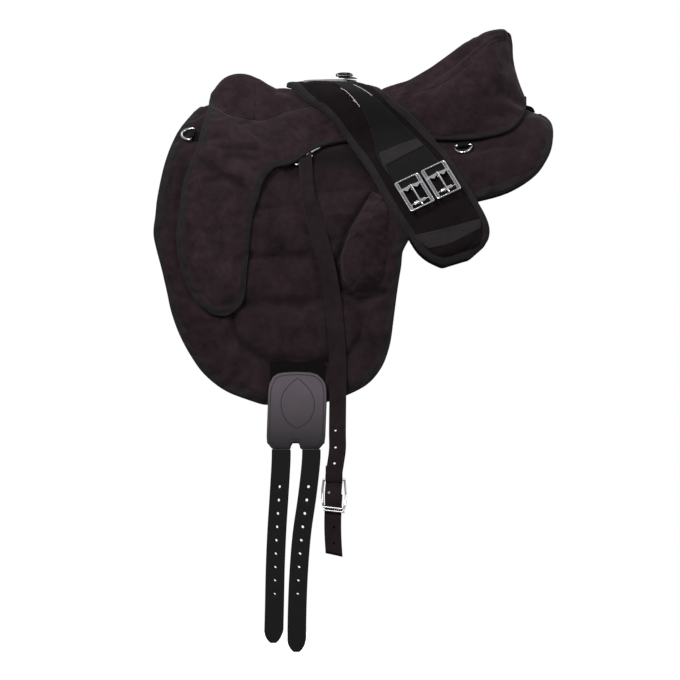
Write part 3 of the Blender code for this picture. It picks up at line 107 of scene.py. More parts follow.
# Sewn channels of the pad, and how deep each is drawn in
CHANNELS = (
    (((240, 257), (300, 257), (318, 254)), 1.0),
    (((236, 306), (300, 303), (322, 299)), 1.0),
    (((255, 209), (285, 207)), 0.5),
    (((318, 192), (345, 190), (370, 187)), 0.7),
    (((327, 240), (349, 238)), 0.7),
    (((232, 316), (236, 336), (246, 350), (262, 359), (271, 362), (300, 363.5), (328, 363)), 1.0),
    (((343, 302), (357, 315), (361, 329), (359, 339), (348, 355)), 0.8),
    (((240, 257), (236, 306), (232, 316)), 0.5),
    (((378, 186), (362, 207), (346, 232), (336.5, 262), (340, 291), (360, 299), (384, 293)), 1.05),
    (((196, 112), (187, 130), (179, 150), (172, 172), (167, 200), (166, 228)), 0.38),
    (((206, 112), (198, 130), (191, 152), (184, 176), (178, 204), (176, 232)), 0.34),
    (((288, 168), (291, 184), (306, 229), (317.5, 274), (323, 300)), 0.38),
    (((446, 150), (480, 152), (520, 144)), 0.30),
)


# Lines and places

def at(along, down):
    """Side elevation in metres of a place counted in steps."""
    return (along - 360) * STEP, (138 - down) * STEP


def side_place(share):
    return (share[0] - LOWEST_SHARE) * LENGTH, (SPINE_SHARE - share[1]) * HEIGHT


def spine_height(x):
    rise = 0.048 if x < 0 else 0.040
    return rise * (1 - math.cos(math.pi * min(abs(x) / 0.300, 1))) / 2


def round_part(drop):
    """Tilt of the back's side at a drop below the spine, and how much of the drop is on the curve."""
    tilt = math.acos(max(math.cos(SPINE_TILT) - drop / BACK_RADIUS, math.cos(SIDE_TILT)))
    return tilt, BACK_RADIUS * (math.cos(SPINE_TILT) - math.cos(tilt))


def on_section(x, drop, lift, side):
    tilt, round_drop = round_part(drop)
    reach = BACK_RADIUS * (math.sin(tilt) - math.sin(SPINE_TILT))
    reach += (min(drop, HANG_DROP) - round_drop) / math.tan(SIDE_TILT)
    return Vector((x, side * (reach + lift * math.sin(tilt)),
                   spine_height(x) - drop + lift * math.cos(tilt)))


def drop_at(x, z, lift):
    below = spine_height(x) - z
    drop = (below + lift * math.cos(SPINE_TILT)) / (1 + lift / BACK_RADIUS)
    if drop > BACK_RADIUS * (math.cos(SPINE_TILT) - math.cos(SIDE_TILT)):
        drop = below + lift * math.cos(SIDE_TILT)
    return max(drop, 0)


def on_back(place, lift, side=NEAR):
    """Point over the back whose side elevation is a place in metres."""
    return on_section(place[0], drop_at(place[0], place[1], lift), lift, side)


def unrolled(place):
    """The same place with the back's curve laid flat."""
    drop = drop_at(place[0], place[1], PAD_LIFT)
    tilt, round_drop = round_part(drop)
    return place[0], -(BACK_RADIUS * (tilt - SPINE_TILT) + max(drop - round_drop, 0))


def clear_of_back(point, lift):
    centre_y = BACK_RADIUS * math.sin(SPINE_TILT)
    centre_z = spine_height(point.x) - BACK_RADIUS * math.cos(SPINE_TILT)
    out = Vector((0, abs(point.y) + centre_y, point.z - centre_z))
    if out.length >= BACK_RADIUS + lift:
        return point
    out *= (BACK_RADIUS + lift) / out.length
    y = max(out.y - centre_y, 0)
    return Vector((point.x, math.copysign(y, point.y) if point.y else 0, centre_z + out.z))


def ease(share):
    share = min(max(share, 0), 1)
    return share * share * (3 - 2 * share)


def hill(away, width):
    """One at no distance, falling off within a width."""
    return math.exp(-(away / width) ** 2)


def ripple(x, y, z):
    return noise.noise(Vector((x, y, z)))


def read_table(table, share):
    """Smooth value at a share of the way along a table."""
    place = share * (len(table) - 1)
    index = min(int(place), len(table) - 2)
    part = place - index
    rows = [table[min(max(index + step, 0), len(table) - 1)] for step in (-1, 0, 1, 2)]
    if not isinstance(rows[0], (tuple, list, Vector)):
        rows = [(row,) for row in rows]
    values = []
    for before, start, end, after in zip(*rows):
        leave = (end - before) / 2
        arrive = (after - start) / 2
        values.append(start + part * leave
                      + part * part * (3 * (end - start) - 2 * leave - arrive)
                      + part * part * part * (leave + arrive - 2 * (end - start)))
    return values[0] if len(values) == 1 else values


def to_line(point, line):
    """Distance from a flat point to a chain, and how far along the chain that is."""
    best = (math.inf, 0)
    walked = 0
    for start, end in zip(line, line[1:]):
        run = (end[0] - start[0], end[1] - start[1])
        length = math.hypot(*run)
        if not length:
            continue
        share = ((point[0] - start[0]) * run[0] + (point[1] - start[1]) * run[1]) / length ** 2
        share = min(max(share, 0), 1)
        away = math.hypot(point[0] - start[0] - share * run[0], point[1] - start[1] - share * run[1])
        if away < best[0]:
            best = (away, walked + share * length)
        walked += length
    return best


def row_point(rows, down, across):
    row = read_table(rows, down)
    sag = row[4] * 4 * across * (1 - across)
    return side_place((row[0] + (row[2] - row[0]) * across, row[1] + (row[3] - row[1]) * across + sag))


def outline_of(rows, closed_top):
    line = [row_point(rows, step / 48, 0) for step in range(49)]
    line += [row_point(rows, 1, step / 12) for step in range(13)]
    line += [row_point(rows, 1 - step / 48, 1) for step in range(49)]
    if closed_top:
        line += [row_point(rows, 0, 1 - step / 12) for step in range(13)]
    return [unrolled(place) for place in line]


def dense(line, smooth=False, count=8):
    """More places along a chain, on its straight runs or on a smooth curve through it."""
    if smooth:
        steps = (len(line) - 1) * count
        return [tuple(read_table(line, step / steps)) for step in range(steps + 1)]
    places = []
    for start, end in zip(line, line[1:]):
        for step in range(count):
            places.append((start[0] + (end[0] - start[0]) * step / count,
                           start[1] + (end[1] - start[1]) * step / count))
    return places + [line[-1]]


def run_lengths(points):
    runs = [0]
    for start, end in zip(points, points[1:]):
        runs.append(runs[-1] + (end - start).length)
    return runs


def spots_at(loops, runs, run):
    """Where matched chains are at a length along the first of them."""
    run = min(max(run, 0), runs[-1])
    index = 0
    while index < len(runs) - 2 and runs[index + 1] < run:
        index += 1
    share = (run - runs[index]) / max(runs[index + 1] - runs[index], 1e-9)
    return [loop[index].lerp(loop[index + 1], share) for loop in loops]


# Making pieces

RIDES = {}
NO_SEAM = (0.05, 0, 0)
CLOTH_FRAMES = 18
CLOTH_GAP = 0.0014
TAPE_REACHES = (1, 0.72, 0.45, 0.2)


def off(name):
    return name.replace("_near", "_off")


def new_object(name, data):
    item = bpy.data.objects.new(name, data)
    bpy.context.scene.collection.objects.link(item)
    return item


def mesh_from(bm, name):
    mesh = bpy.data.meshes.new(name)
    bm.to_mesh(mesh)
    bm.free()
    return mesh


def settled(item):
    """An object with its modifiers worked out."""
    bpy.context.view_layer.update()
    return item.evaluated_get(bpy.context.evaluated_depsgraph_get())


def place_on(piece, body, slot, hides):
    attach(piece, body)
    if hides:
        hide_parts(*hides)
    RIDES[piece.name] = (body, slot, hides)


def finish_piece(bm, name, body, material, slot, hides=(), levels=0, sharp=60):
    """Turn a bmesh into a piece that rides on a body."""
    bmesh.ops.recalc_face_normals(bm, faces=bm.faces[:])
    if bm.calc_volume(signed=True) < 0:
        bmesh.ops.reverse_faces(bm, faces=bm.faces[:])
    mesh = mesh_from(bm, name)
    mesh.materials.clear()
    mesh.materials.append(material)
    mesh.shade_smooth()
    if sharp:
        mesh.set_sharp_from_angle(angle=math.radians(sharp))
    piece = new_object(name, mesh)
    if levels:
        soften = piece.modifiers.new("soften", "SUBSURF")
        soften.levels = soften.render_levels = levels
    place_on(piece, body, slot, hides)
    return piece


def other_side(piece):
    """The same piece on the off side."""
    body, slot, hides = RIDES[piece.name]
    mesh = piece.data.copy()
    bm = bmesh.new()
    bm.from_mesh(mesh)
    bmesh.ops.scale(bm, vec=(1, -1, 1), verts=bm.verts[:])
    bmesh.ops.reverse_faces(bm, faces=bm.faces[:])
    bm.to_mesh(mesh)
    bm.free()
    twin = new_object(off(piece.name), mesh)
    for modifier in piece.modifiers:
        copied = twin.modifiers.new(modifier.name, modifier.type)
        for key in ("levels", "render_levels", "width", "segments", "limit_method", "angle_limit"):
            if hasattr(modifier, key):
                setattr(copied, key, getattr(modifier, key))
    place_on(twin, off(body), slot, [off(node) for node in hides])
    return twin


def cushion_pair(piece):
    """A cushion and its twin on the off side."""
    for cushion in (piece, other_side(piece)):
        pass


def flat_grid(columns, rows):
    bm = bmesh.new()
    bmesh.ops.create_grid(bm, x_segments=columns, y_segments=rows, size=0.5)
    return bm


def grid_place(vert, columns, rows):
    return round((vert.co.x + 0.5) * columns), round((0.5 - vert.co.y) * rows)


def with_under_sheet(bm):
    """Close a grid with a second sheet. Gives each vertex, and whether it is on the outer one."""
    outer = list(bm.verts)
    made = bmesh.ops.extrude_face_region(bm, geom=bm.faces[:])["geom"]
    under = [item for item in made if isinstance(item, bmesh.types.BMVert)]
    return [(vert, True) for vert in outer] + [(vert, False) for vert in under]


def padded_solid(columns, rows, place):
    """Closed solid between two surfaces. place(across, down, is_outer) gives each corner."""
    bm = flat_grid(columns, rows)
    seams = bm.verts.layers.float_vector.new("seam")
    sewn = bm.verts.layers.float.new("sewn")
    for vert, is_outer in with_under_sheet(bm):
        across, down = grid_place(vert, columns, rows)
        at_rim = across in (0, columns) or down in (0, rows)
        vert[seams] = NO_SEAM
        vert[sewn] = 1 if at_rim or not is_outer else 0
        vert.co = place(across, down, is_outer)
    return bm


def filled_out(piece, most, neighbours, pressure, spare):
    """Let a sewn cushion's cloth swell between its seams, then keep that shape as its mesh."""
    mesh = piece.data
    shares = [value.value for value in mesh.attributes["sewn"].data]
    mesh.attributes.remove(mesh.attributes["sewn"])
    group = piece.vertex_groups.new(name="held")
    for index, share in enumerate(shares):
        if share > 0.02:
            group.add([index], share, "REPLACE")
    for modifier in piece.modifiers:
        modifier.show_viewport = False
    cloth = piece.modifiers.new("filling", "CLOTH")
    settings = cloth.settings
    settings.quality = 4
    settings.mass = 0.3
    settings.tension_stiffness = settings.compression_stiffness = 12
    settings.shear_stiffness = 5
    settings.bending_stiffness = 0.4
    settings.use_pressure = True
    settings.uniform_pressure_force = pressure
    settings.shrink_min = -spare
    settings.effector_weights.gravity = 0
    settings.vertex_group_mass = "held"
    settings.pin_stiffness = 1
    cloth.point_cache.frame_start = 1
    cloth.point_cache.frame_end = CLOTH_FRAMES
    scene = bpy.context.scene
    for number in range(1, CLOTH_FRAMES + 1):
        scene.frame_set(number)
    swollen = piece.evaluated_get(bpy.context.evaluated_depsgraph_get())
    spots = [vert.co.copy() for vert in swollen.to_mesh().vertices]
    swollen.to_mesh_clear()
    piece.modifiers.remove(cloth)
    piece.vertex_groups.remove(group)
    scene.frame_set(1)
    for modifier in piece.modifiers:
        modifier.show_viewport = True
    tree = tree_of(*neighbours)
    for vert, spot in zip(mesh.vertices, spots):
        shift = spot - vert.co
        room = min(most, max(tree.find_nearest(vert.co)[3] - CLOTH_GAP, 0))
        if shift.length > room:
            shift *= room / shift.length
        vert.co += shift


def strip_along(path, across, half, thick):
    """Flat strap along a path, with its place across and along kept for the weave."""
    last = len(path) - 1
    runs = run_lengths(path)
    bm = flat_grid(4, last)
    laid = bm.verts.layers.float_vector.new("laid")
    for vert, is_outer in with_under_sheet(bm):
        column, down = grid_place(vert, 4, last)
        share = column / 2 - 1
        along = (path[min(down + 1, last)] - path[max(down - 1, 0)]).normalized()
        face = along.cross(across).normalized()
        vert[laid] = (share * half, runs[down], 0)
        vert.co = path[down] + across * half * share + face * (thick / 2 if is_outer else -thick / 2)
    return bm


def bevel_edges(piece, width, segments=2):
    rounding = piece.modifiers.new("worn edge", "BEVEL")
    rounding.width = width
    rounding.segments = segments
    rounding.limit_method = "ANGLE"
    rounding.angle_limit = math.radians(50)


def punch(piece, spots, radius):
    """Punch round holes through a strap that faces sideways."""
    bm = bmesh.new()
    turn = Vector((0, 1, 0)).to_track_quat("Z", "Y").to_matrix().to_4x4()
    for spot in spots:
        bmesh.ops.create_cone(bm, cap_ends=True, segments=14, radius1=radius, radius2=radius,
                              depth=0.030, matrix=Matrix.Translation(spot) @ turn)
    tool = new_object("punch", mesh_from(bm, "punch"))
    piece.modifiers.new("holes", "BOOLEAN").object = tool
    mesh = bpy.data.meshes.new_from_object(settled(piece))
    piece.modifiers.clear()
    piece.data = mesh
    bpy.data.objects.remove(tool)


def rod(points, radius, closed=False):
    """Mesh of a round rod bent through a chain of points."""
    curve = bpy.data.curves.new("rod", "CURVE")
    curve.dimensions = "3D"
    curve.bevel_depth = radius
    curve.bevel_resolution = 4
    curve.use_fill_caps = True
    spline = curve.splines.new("POLY")
    spline.points.add(len(points) - 1)
    for spot, point in zip(spline.points, points):
        spot.co = (*point, 1)
    spline.use_cyclic_u = closed
    holder = new_object("rod", curve)
    bpy.context.view_layer.update()
    mesh = bpy.data.meshes.new_from_object(holder)
    bpy.data.objects.remove(holder)
    return mesh


def joined(*shapes):
    """One bmesh of several meshes and bmeshes."""
    bm = bmesh.new()
    for shape in shapes:
        if isinstance(shape, bmesh.types.BMesh):
            bmesh.ops.recalc_face_normals(shape, faces=shape.faces[:])
            shape = mesh_from(shape, "shape")
        bm.from_mesh(shape)
    return bm


def rounded_corners(corners, radius, steps=5):
    """Closed chain through the given corners, each turned on a small arc."""
    points = []
    for index, corner in enumerate(corners):
        before = (corners[index - 1] - corner).normalized() * radius
        after = (corners[(index + 1) % len(corners)] - corner).normalized() * radius
        for step in range(steps + 1):
            part = step / steps
            points.append((corner + before * (1 - part)).lerp(corner + after * part, part))
    return points


def merged_copy(node):
    """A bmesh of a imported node, its loose triangles joined."""
    bm = bmesh.new()
    bm.from_mesh(frame["nodes"][node].data)
    bmesh.ops.remove_doubles(bm, verts=bm.verts[:], dist=0.00001)
    bmesh.ops.join_triangles(bm, faces=bm.faces[:], angle_face_threshold=0.7, angle_shape_threshold=0.7)
    return bm


def smooth_copy(node):
    """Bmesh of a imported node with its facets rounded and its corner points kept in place."""
    bm = merged_copy(node)
    creases = bm.edges.layers.float.new("crease_edge")
    for edge in bm.edges:
        if len(edge.link_faces) == 2 and edge.calc_face_angle() > 0.9:
            edge[creases] = 1
    mesh = mesh_from(bm, node)
    holder = new_object("holder", mesh)
    soften = holder.modifiers.new("soften", "SUBSURF")
    soften.levels = soften.render_levels = 2
    goals = [vert.co.copy() for vert in mesh.vertices]
    for _ in range(4):
        for vert, goal, seen in zip(mesh.vertices, goals, settled(holder).data.vertices):
            vert.co += (goal - seen.co) * 0.9
        mesh.update()
        holder.update_tag()
    smooth = bpy.data.meshes.new_from_object(settled(holder))
    bpy.data.objects.remove(holder)
    bm = bmesh.new()
    bm.from_mesh(smooth)
    return bm


def tree_of(*shapes):
    """What rays meet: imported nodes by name, and meshes."""
    bm = bmesh.new()
    for shape in shapes:
        bm.from_mesh(frame["nodes"][shape].data if isinstance(shape, str) else shape)
    tree = BVHTree.FromBMesh(bm)
    bm.free()
    return tree


def bind_edge(name, outer, under, tree, width, thick, body, closed=False):
    """Tape folded over an edge. outer and under are the two rims of the edge, in step."""
    length = sum((b - a).length for a, b in zip(outer, outer[1:]))
    count = max(int(length / 0.004), 8)
    loops = [loop + [loop[0]] if closed else loop for loop in (outer, under)]
    rows = count if closed else count - 1
    runs = run_lengths(loops[0])
    places = [spots_at(loops, runs, runs[-1] * step / rows) for step in range(count)]
    sections = []
    for index, (high, low) in enumerate(places):
        if closed:
            along = places[(index + 1) % count][0] - places[index - 1][0]
        else:
            along = places[min(index + 1, count - 1)][0] - places[max(index - 1, 0)][0]
        along.normalize()
        up = high - low
        up = (up - along * up.dot(along)).normalized()
        out = along.cross(up)
        if tree.find_nearest(high + out * width)[3] < tree.find_nearest(high - out * width)[3]:
            out = -out
        top, base = [], []
        for reach in TAPE_REACHES:
            for start, sign, line in ((high, 1, top), (low, -1, base)):
                spot, normal, _, _ = tree.find_nearest(start - out * width * reach)
                if normal.dot(up * sign) < 0.1:
                    spot, normal = start - out * width * reach, up * sign
                line.append(spot + normal * thick * (0.45 if reach == 1 else 1))
        around = [high + up * thick * 0.75 + out * thick * 0.8, (high + low) / 2 + out * thick * 1.3,
                  low - up * thick * 0.75 + out * thick * 0.8]
        inside = [base[0] + up * thick * 1.6, top[0] - up * thick * 1.6]
        sections.append(top + around + base[::-1] + inside)
    ring = len(sections[0])
    bm = flat_grid(ring, rows)
    laid = bm.verts.layers.float_vector.new("laid")
    for vert in bm.verts:
        over, down = grid_place(vert, ring, rows)
        vert[laid] = (over / ring * width * 3, runs[-1] * down / rows, 0)
        vert.co = sections[down % count][over % ring]
    bmesh.ops.remove_doubles(bm, verts=bm.verts[:], dist=0.00002)
    bmesh.ops.holes_fill(bm, edges=[edge for edge in bm.edges if edge.is_boundary])
    return finish_piece(bm, name, body, TAPE, "suede_dark", sharp=70, levels=1)


def run_line(tree, places, lift):
    """Points on the near face of a surface whose side elevation is given in steps."""
    points, normals = [], []
    for place in places:
        x, z = at(*place)
        spot, normal, _, _ = tree.ray_cast(Vector((x, NEAR, z)), Vector((0, -NEAR, 0)))
        if spot is None:
            spot, normal, _, _ = tree.find_nearest(Vector((x, NEAR * 0.2, z)))
        points.append(spot + normal * lift)
        normals.append(normal)
    return points, normals


def sew(name, tree, places, lift, body, thread, length, pitch, radius):
    """Row of thread stitches over a line of places, on both sides of the saddle."""
    loops = run_line(tree, places, lift)
    runs = run_lengths(loops[0])
    bm = bmesh.new()
    for number in range(max(int(runs[-1] / pitch), 2)):
        start = spots_at(loops, runs, pitch * number)
        end = spots_at(loops, runs, pitch * number + length)
        way = end[0] - start[0]
        if way.length < length / 4:
            continue
        normal = start[1].normalized()
        over = way.cross(normal).normalized()
        made = bmesh.ops.create_cone(bm, cap_ends=True, segments=5, radius1=radius, radius2=radius,
                                     depth=way.length)["verts"]
        turn = Matrix((over, normal, way.normalized())).transposed().to_4x4()
        bmesh.ops.transform(bm, matrix=Matrix.Translation((start[0] + end[0]) / 2) @ turn, verts=made)
    other_side(finish_piece(bm, f"{name}_near", body, thread, "webbing"))


# Finishes

class Graph:
    """Nodes of one finish, or of the surroundings."""

    def __init__(self, tree):
        self.nodes, self.links = tree.nodes, tree.links

    def give(self, socket, value):
        if isinstance(value, bpy.types.NodeSocket):
            self.links.new(value, socket)
        else:
            socket.default_value = (*value, 1) if isinstance(value, tuple) else value

    def add(self, kind, inputs=(), **settings):
        node = self.nodes.new("ShaderNode" + kind)
        for key, value in settings.items():
            setattr(node, key, value)
        for socket, value in inputs:
            self.give(node.inputs[socket], value)
        return node

    def calc(self, kind, *values):
        return self.add("Math", enumerate(values), operation=kind).outputs[0]

    def split(self, vector):
        return self.add("SeparateXYZ", [(0, vector)]).outputs

    def mix(self, share, first, second):
        return self.add("Mix", [(0, share), (6, first), (7, second)], data_type="RGBA").outputs[2]


class Finish(Graph):
    """A material on the shader's own sockets, with its colour and bumps linked."""

    def __init__(self, name, **looks):
        self.material = bpy.data.materials.new(name)
        self.material.use_nodes = True
        super().__init__(self.material.node_tree)
        self.shader = self.nodes["Principled BSDF"]
        self.place = self.add("TexCoord").outputs["Object"]
        self.normal = None
        for socket, value in looks.items():
            self.give(self.shader.inputs[socket.replace("_", " ")], value)

    def noise(self, scale, detail=3.0, rough=0.55):
        return self.add("TexNoise", [("Scale", scale), ("Detail", detail), ("Roughness", rough),
                                     ("Vector", self.place)]).outputs["Fac"]

    def kept(self, attribute):
        """The three numbers that a mesh keeps under a name."""
        return self.split(self.add("Attribute", attribute_name=attribute).outputs["Vector"])

    def weave(self, across, along, pitch):
        """Ribs across a tape, and the threads that cross them."""
        turns = 2 * math.pi / pitch
        ribs = self.calc("SINE", self.calc("MULTIPLY", along, turns))
        threads = self.calc("SINE", self.calc("MULTIPLY", across, turns))
        return ribs, self.calc("MULTIPLY", ribs, threads)

    def bump(self, height, strength, distance):
        inputs = [("Strength", strength), ("Distance", distance), ("Height", height)]
        if self.normal:
            inputs.append(("Normal", self.normal))
        self.normal = self.add("Bump", inputs).outputs[0]
        self.give(self.shader.inputs["Normal"], self.normal)

    def colour(self, value):
        self.give(self.shader.inputs["Base Color"], value)


def deeper(colour, share):
    return tuple(value * share for value in colour)


def suede(name, dark, pale, sheen=0.16):
    """Napped suede: brushed patches, fine nap, the sewn lines the mesh carries, and the painted shade it
    carries for creases, channels and the skirt's shadow.
    """
    it = Finish(name, Roughness=0.92, Specular_IOR_Level=0.12, Sheen_Weight=sheen, Sheen_Roughness=0.45,
                Sheen_Tint=(0.55, 0.42, 0.47))
    patches, brushed, nap = it.noise(26, 4, 0.6), it.noise(90, 4, 0.65), it.noise(1100, 2, 0.6)
    share = it.calc("MULTIPLY_ADD", brushed, 0.55, it.calc("MULTIPLY", patches, 0.75))
    share = it.calc("SMOOTH_MIN", it.calc("MULTIPLY_ADD", share, 1.6, -0.56), 1.0, 0.2)
    colour = it.mix(it.calc("MAXIMUM", share, 0.0), dark, pale)
    away, _, shade = it.kept("seam")
    valley = it.calc("POWER", it.calc("DIVIDE", away, 0.0011), 2.0)
    valley = it.calc("EXPONENT", it.calc("MULTIPLY", valley, -1.0))
    colour = it.mix(it.calc("MULTIPLY", valley, 0.7), colour, deeper(dark, 0.35))
    # Painted shade: the mesh's third seam number darkens the colour in creases, channels and under the skirt
    it.colour(it.mix(shade, colour, deeper(dark, 0.16)))
    it.bump(it.calc("SUBTRACT", 1.0, valley), 0.9, 0.0012)
    it.bump(brushed, 0.35, 0.0012)
    it.bump(nap, 0.35, 0.0004)
    return it.material


def woven(name, colour, pale, pitch):
    """Woven tape or webbing: ribs across it and threads along it."""
    it = Finish(name, Roughness=0.78, Specular_IOR_Level=0.14, Sheen_Weight=0.06)
    across, along, _ = it.kept("laid")
    ribs, weave = it.weave(across, along, pitch)
    weave = it.calc("MULTIPLY_ADD", weave, 0.25, it.calc("MULTIPLY_ADD", ribs, 0.25, 0.5))
    share = it.calc("MULTIPLY", it.noise(60, 4, 0.6), it.calc("MULTIPLY_ADD", weave, 0.5, 0.5))
    it.colour(it.mix(share, colour, pale))
    it.bump(weave, 0.6, 0.0005)
    it.bump(it.noise(700, 2), 0.2, 0.0003)
    return it.material


def woven_flat(name, colour, pale, pitch):
    """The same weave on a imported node, read from where it lies."""
    it = Finish(name, Roughness=0.8, Specular_IOR_Level=0.12)
    x, y, z = it.split(it.place)
    down = it.calc("ADD", z, it.calc("MULTIPLY", y, 0.7))
    _, weave = it.weave(x, down, pitch)
    weave = it.calc("MULTIPLY_ADD", weave, 0.3, 0.5)
    it.colour(it.mix(it.calc("MULTIPLY", it.noise(60, 4, 0.6), weave), colour, pale))
    it.bump(weave, 0.5, 0.0004)
    return it.material


def leather(name, colour, pale, roughness, gloss, painted_shade_heights=None):
    """Smooth finished leather with a fine grain and rubbed places, with painted shade darkening it towards
    its foot.
    """
    it = Finish(name, Specular_IOR_Level=gloss)
    cells = it.add("TexVoronoi", [("Scale", 900), ("Vector", it.place)])
    rubbed = it.noise(35, 5, 0.6)
    tone = it.mix(rubbed, colour, pale)
    # Painted shade: between the two heights the colour darkens towards the foot, where less light falls
    if painted_shade_heights:
        high, low = painted_shade_heights
        down = it.calc("DIVIDE", it.calc("SUBTRACT", high, it.split(it.place)[2]), high - low)
        down = it.calc("POWER", it.calc("MINIMUM", it.calc("MAXIMUM", down, 0.0), 1.0), 1.3)
        tone = it.mix(down, tone, deeper(colour, 0.10))
    it.colour(tone)
    it.give(it.shader.inputs["Roughness"], it.calc("MULTIPLY_ADD", rubbed, 0.22, roughness - 0.11))
    it.bump(cells.outputs["Distance"], 0.12, 0.0003)
    it.bump(it.noise(220, 3), 0.10, 0.0006)
    return it.material


def bright_metal(name, colour, roughness):
    it = Finish(name, Metallic=1)
    smear = it.noise(300, 3, 0.6)
    it.colour(it.mix(smear, colour, deeper(colour, 0.86)))
    it.give(it.shader.inputs["Roughness"], it.calc("MULTIPLY_ADD", smear, 0.16, roughness))
    it.bump(smear, 0.05, 0.0002)
    return it.material


def plain_thread(name, colour):
    it = Finish(name, Roughness=0.6)
    twist = it.noise(1500, 2)
    it.colour(it.mix(twist, colour, deeper(colour, 0.6)))
    it.bump(twist, 0.4, 0.0002)
    return it.material


SUEDE = suede("napped_suede", (0.0040, 0.0022, 0.0029), (0.0340, 0.0196, 0.0246))
PAD_SUEDE = suede("pad_suede", (0.0036, 0.0020, 0.0026), (0.0262, 0.0146, 0.0188))
GIRTH_SUEDE = suede("girth_suede", (0.0014, 0.0008, 0.0010), (0.0078, 0.0043, 0.0053), 0.06)
STRAP_SUEDE = suede("strap_suede", (0.0060, 0.0036, 0.0043), (0.0180, 0.0115, 0.0132), 0.15)
TAPE = woven("binding_tape", (0.0034, 0.0027, 0.0029), (0.0190, 0.0158, 0.0166), 0.0016)
WEBBING = woven_flat("black_webbing", (0.0022, 0.0021, 0.0022), (0.0080, 0.0078, 0.0080), 0.0018)
BAND_TAPE = woven("keeper_tape", (0.0075, 0.0062, 0.0066), (0.0290, 0.0245, 0.0255), 0.0016)
LACED_WEBBING = woven("girth_webbing", (0.0008, 0.0008, 0.0008), (0.0034, 0.0034, 0.0034), 0.0019)
GREY_TAPE = woven("crest_tape", (0.1400, 0.1440, 0.1500), (0.3600, 0.3660, 0.3740), 0.0013)
# The patch leather's last two numbers are the heights of its painted shade
LEATHER = leather("patch_leather", (0.0620, 0.0500, 0.0610), (0.0900, 0.0740, 0.0880), 0.42, 0.16,
                  (-0.405, -0.512))
BILLET_LEATHER = leather("billet_leather", (0.0028, 0.0027, 0.0028), (0.0062, 0.0060, 0.0062), 0.66, 0.15)
CHROME = bright_metal("chrome", (0.83, 0.83, 0.85), 0.08)
DARK_METAL = bright_metal("dark_metal", (0.20, 0.20, 0.21), 0.30)
WHITE_THREAD = plain_thread("white_thread", (0.75, 0.73, 0.70))
BLACK_THREAD = plain_thread("black_thread", (0.006, 0.005, 0.005))


# The upper cover: seat, skirts and knee lobes in one

SEAT_STATIONS = 100
SEAT_ACROSS = 36
LOBE_COLUMNS = 30
LOBE_DOWN = 52
LOBE_STATION = LOBE_COLUMNS / SEAT_STATIONS
ACROSS_LENGTH = 0.20
CREASE_SHADE = 150
DEEPEST_SHADE = 0.6
LONG_CREASES = ((0.13, 0.0016), (0.22, 0.0022), (0.30, 0.0020), (0.375, 0.0012))
FOLDS = (((198, 160), (210, 168), (222, 176), (244, 190)), ((204, 184), (222, 180), (240, 184)),
         ((240, 124), (249, 122.5)), ((222, 150), (256, 151)), ((228, 158), (252, 161)))
FLAT_FOLDS = [[unrolled(at(*place)) for place in line] for line in FOLDS]
FOLD_LINES = [([at(*place) for place in line], height) for line, height in (
    (((398, 97), (431, 83.5), (447, 74), (463, 60), (481, 44)), 0.0020),
    (((402, 92), (428, 79.5), (446, 66), (460, 53), (474, 41)), 0.0024),
    (((410, 86), (432, 73), (450, 57.5), (466, 44)), 0.0018))]
LOBE_OUTLINE = outline_of(LOBE_ROWS, False)
POMMEL_SEAM = [at(*place) for place in ((255, 79), (254.5, 100), (254, 119))]


def seat_section(station, side, across):
    """Point on the seat's outer surface: centre line, crest, seam, then down to the edge."""
    centre, crest, seam = [side_place(read_table(line, station))
                           for line in (CENTRE_LINE, CREST_LINE, SEAM_LINE)]
    crest_half = SEAT_HALF * read_table(CREST_HALVES, station)
    seam_half = SEAT_HALF * read_table(SEAM_HALVES, station)
    edge_share = read_table(EDGE_LINE, station)
    edge = on_back(side_place(edge_share), COVER_LIFT, side)
    down = edge - on_back(side_place((edge_share[0], edge_share[1] - 0.02)), COVER_LIFT, side)
    if station == 1:
        edge = Vector((edge.x, 0, spine_height(edge.x) + COVER_LIFT / math.cos(SPINE_TILT)))
        down = Vector((edge.x - seam[0], 0, 0))
    top = Vector((centre[0], 0, centre[1]))
    ridge = Vector((crest[0], side * crest_half, crest[1]))
    rim = Vector((seam[0], side * seam_half, seam[1]))
    if across <= RIM_SHARE:
        over = Vector((0, side * 2 * crest_half, 0))
        chain = (ridge - over, top, ridge, rim, rim + (rim - ridge) / 2)
        spot = Vector(read_table(chain, (1 + 2 * across / RIM_SHARE) / (len(chain) - 1)))
        return clear_of_back(spot, COVER_LIFT)
    part = (across - RIM_SHARE) / (1 - RIM_SHARE)
    length = (edge - rim).length
    leave = rim + Vector((0, rim.y, -rim.z)).normalized() * length * 0.45
    arrive = edge - down.normalized() * length * 0.25
    spot = ((1 - part) ** 3 * rim + 3 * part * (1 - part) ** 2 * leave
            + 3 * part ** 2 * (1 - part) * arrive + part ** 3 * edge)
    return clear_of_back(spot, COVER_LIFT)


def seat_spot(station, across):
    """Point and outward normal by shares, across counted from the spine, near side negative."""
    side = -1 if across < 0 else 1

    def surface(along, over):
        return seat_section(min(max(along, 0), 1), -side if over < 0 else side, abs(over))

    over = abs(across)
    point = surface(station, over)
    step = 0.02
    along = surface(station + step, over) - surface(station - step, over)
    beside = surface(station, min(over + step, 1)) - surface(station, over - step)
    normal = along.cross(beside)
    if normal.dot(point - Vector((point.x, 0, spine_height(point.x) - 0.03))) < 0:
        normal = -normal
    if station == 1 or across == 0:
        normal.y = 0
    return point, normal.normalized()


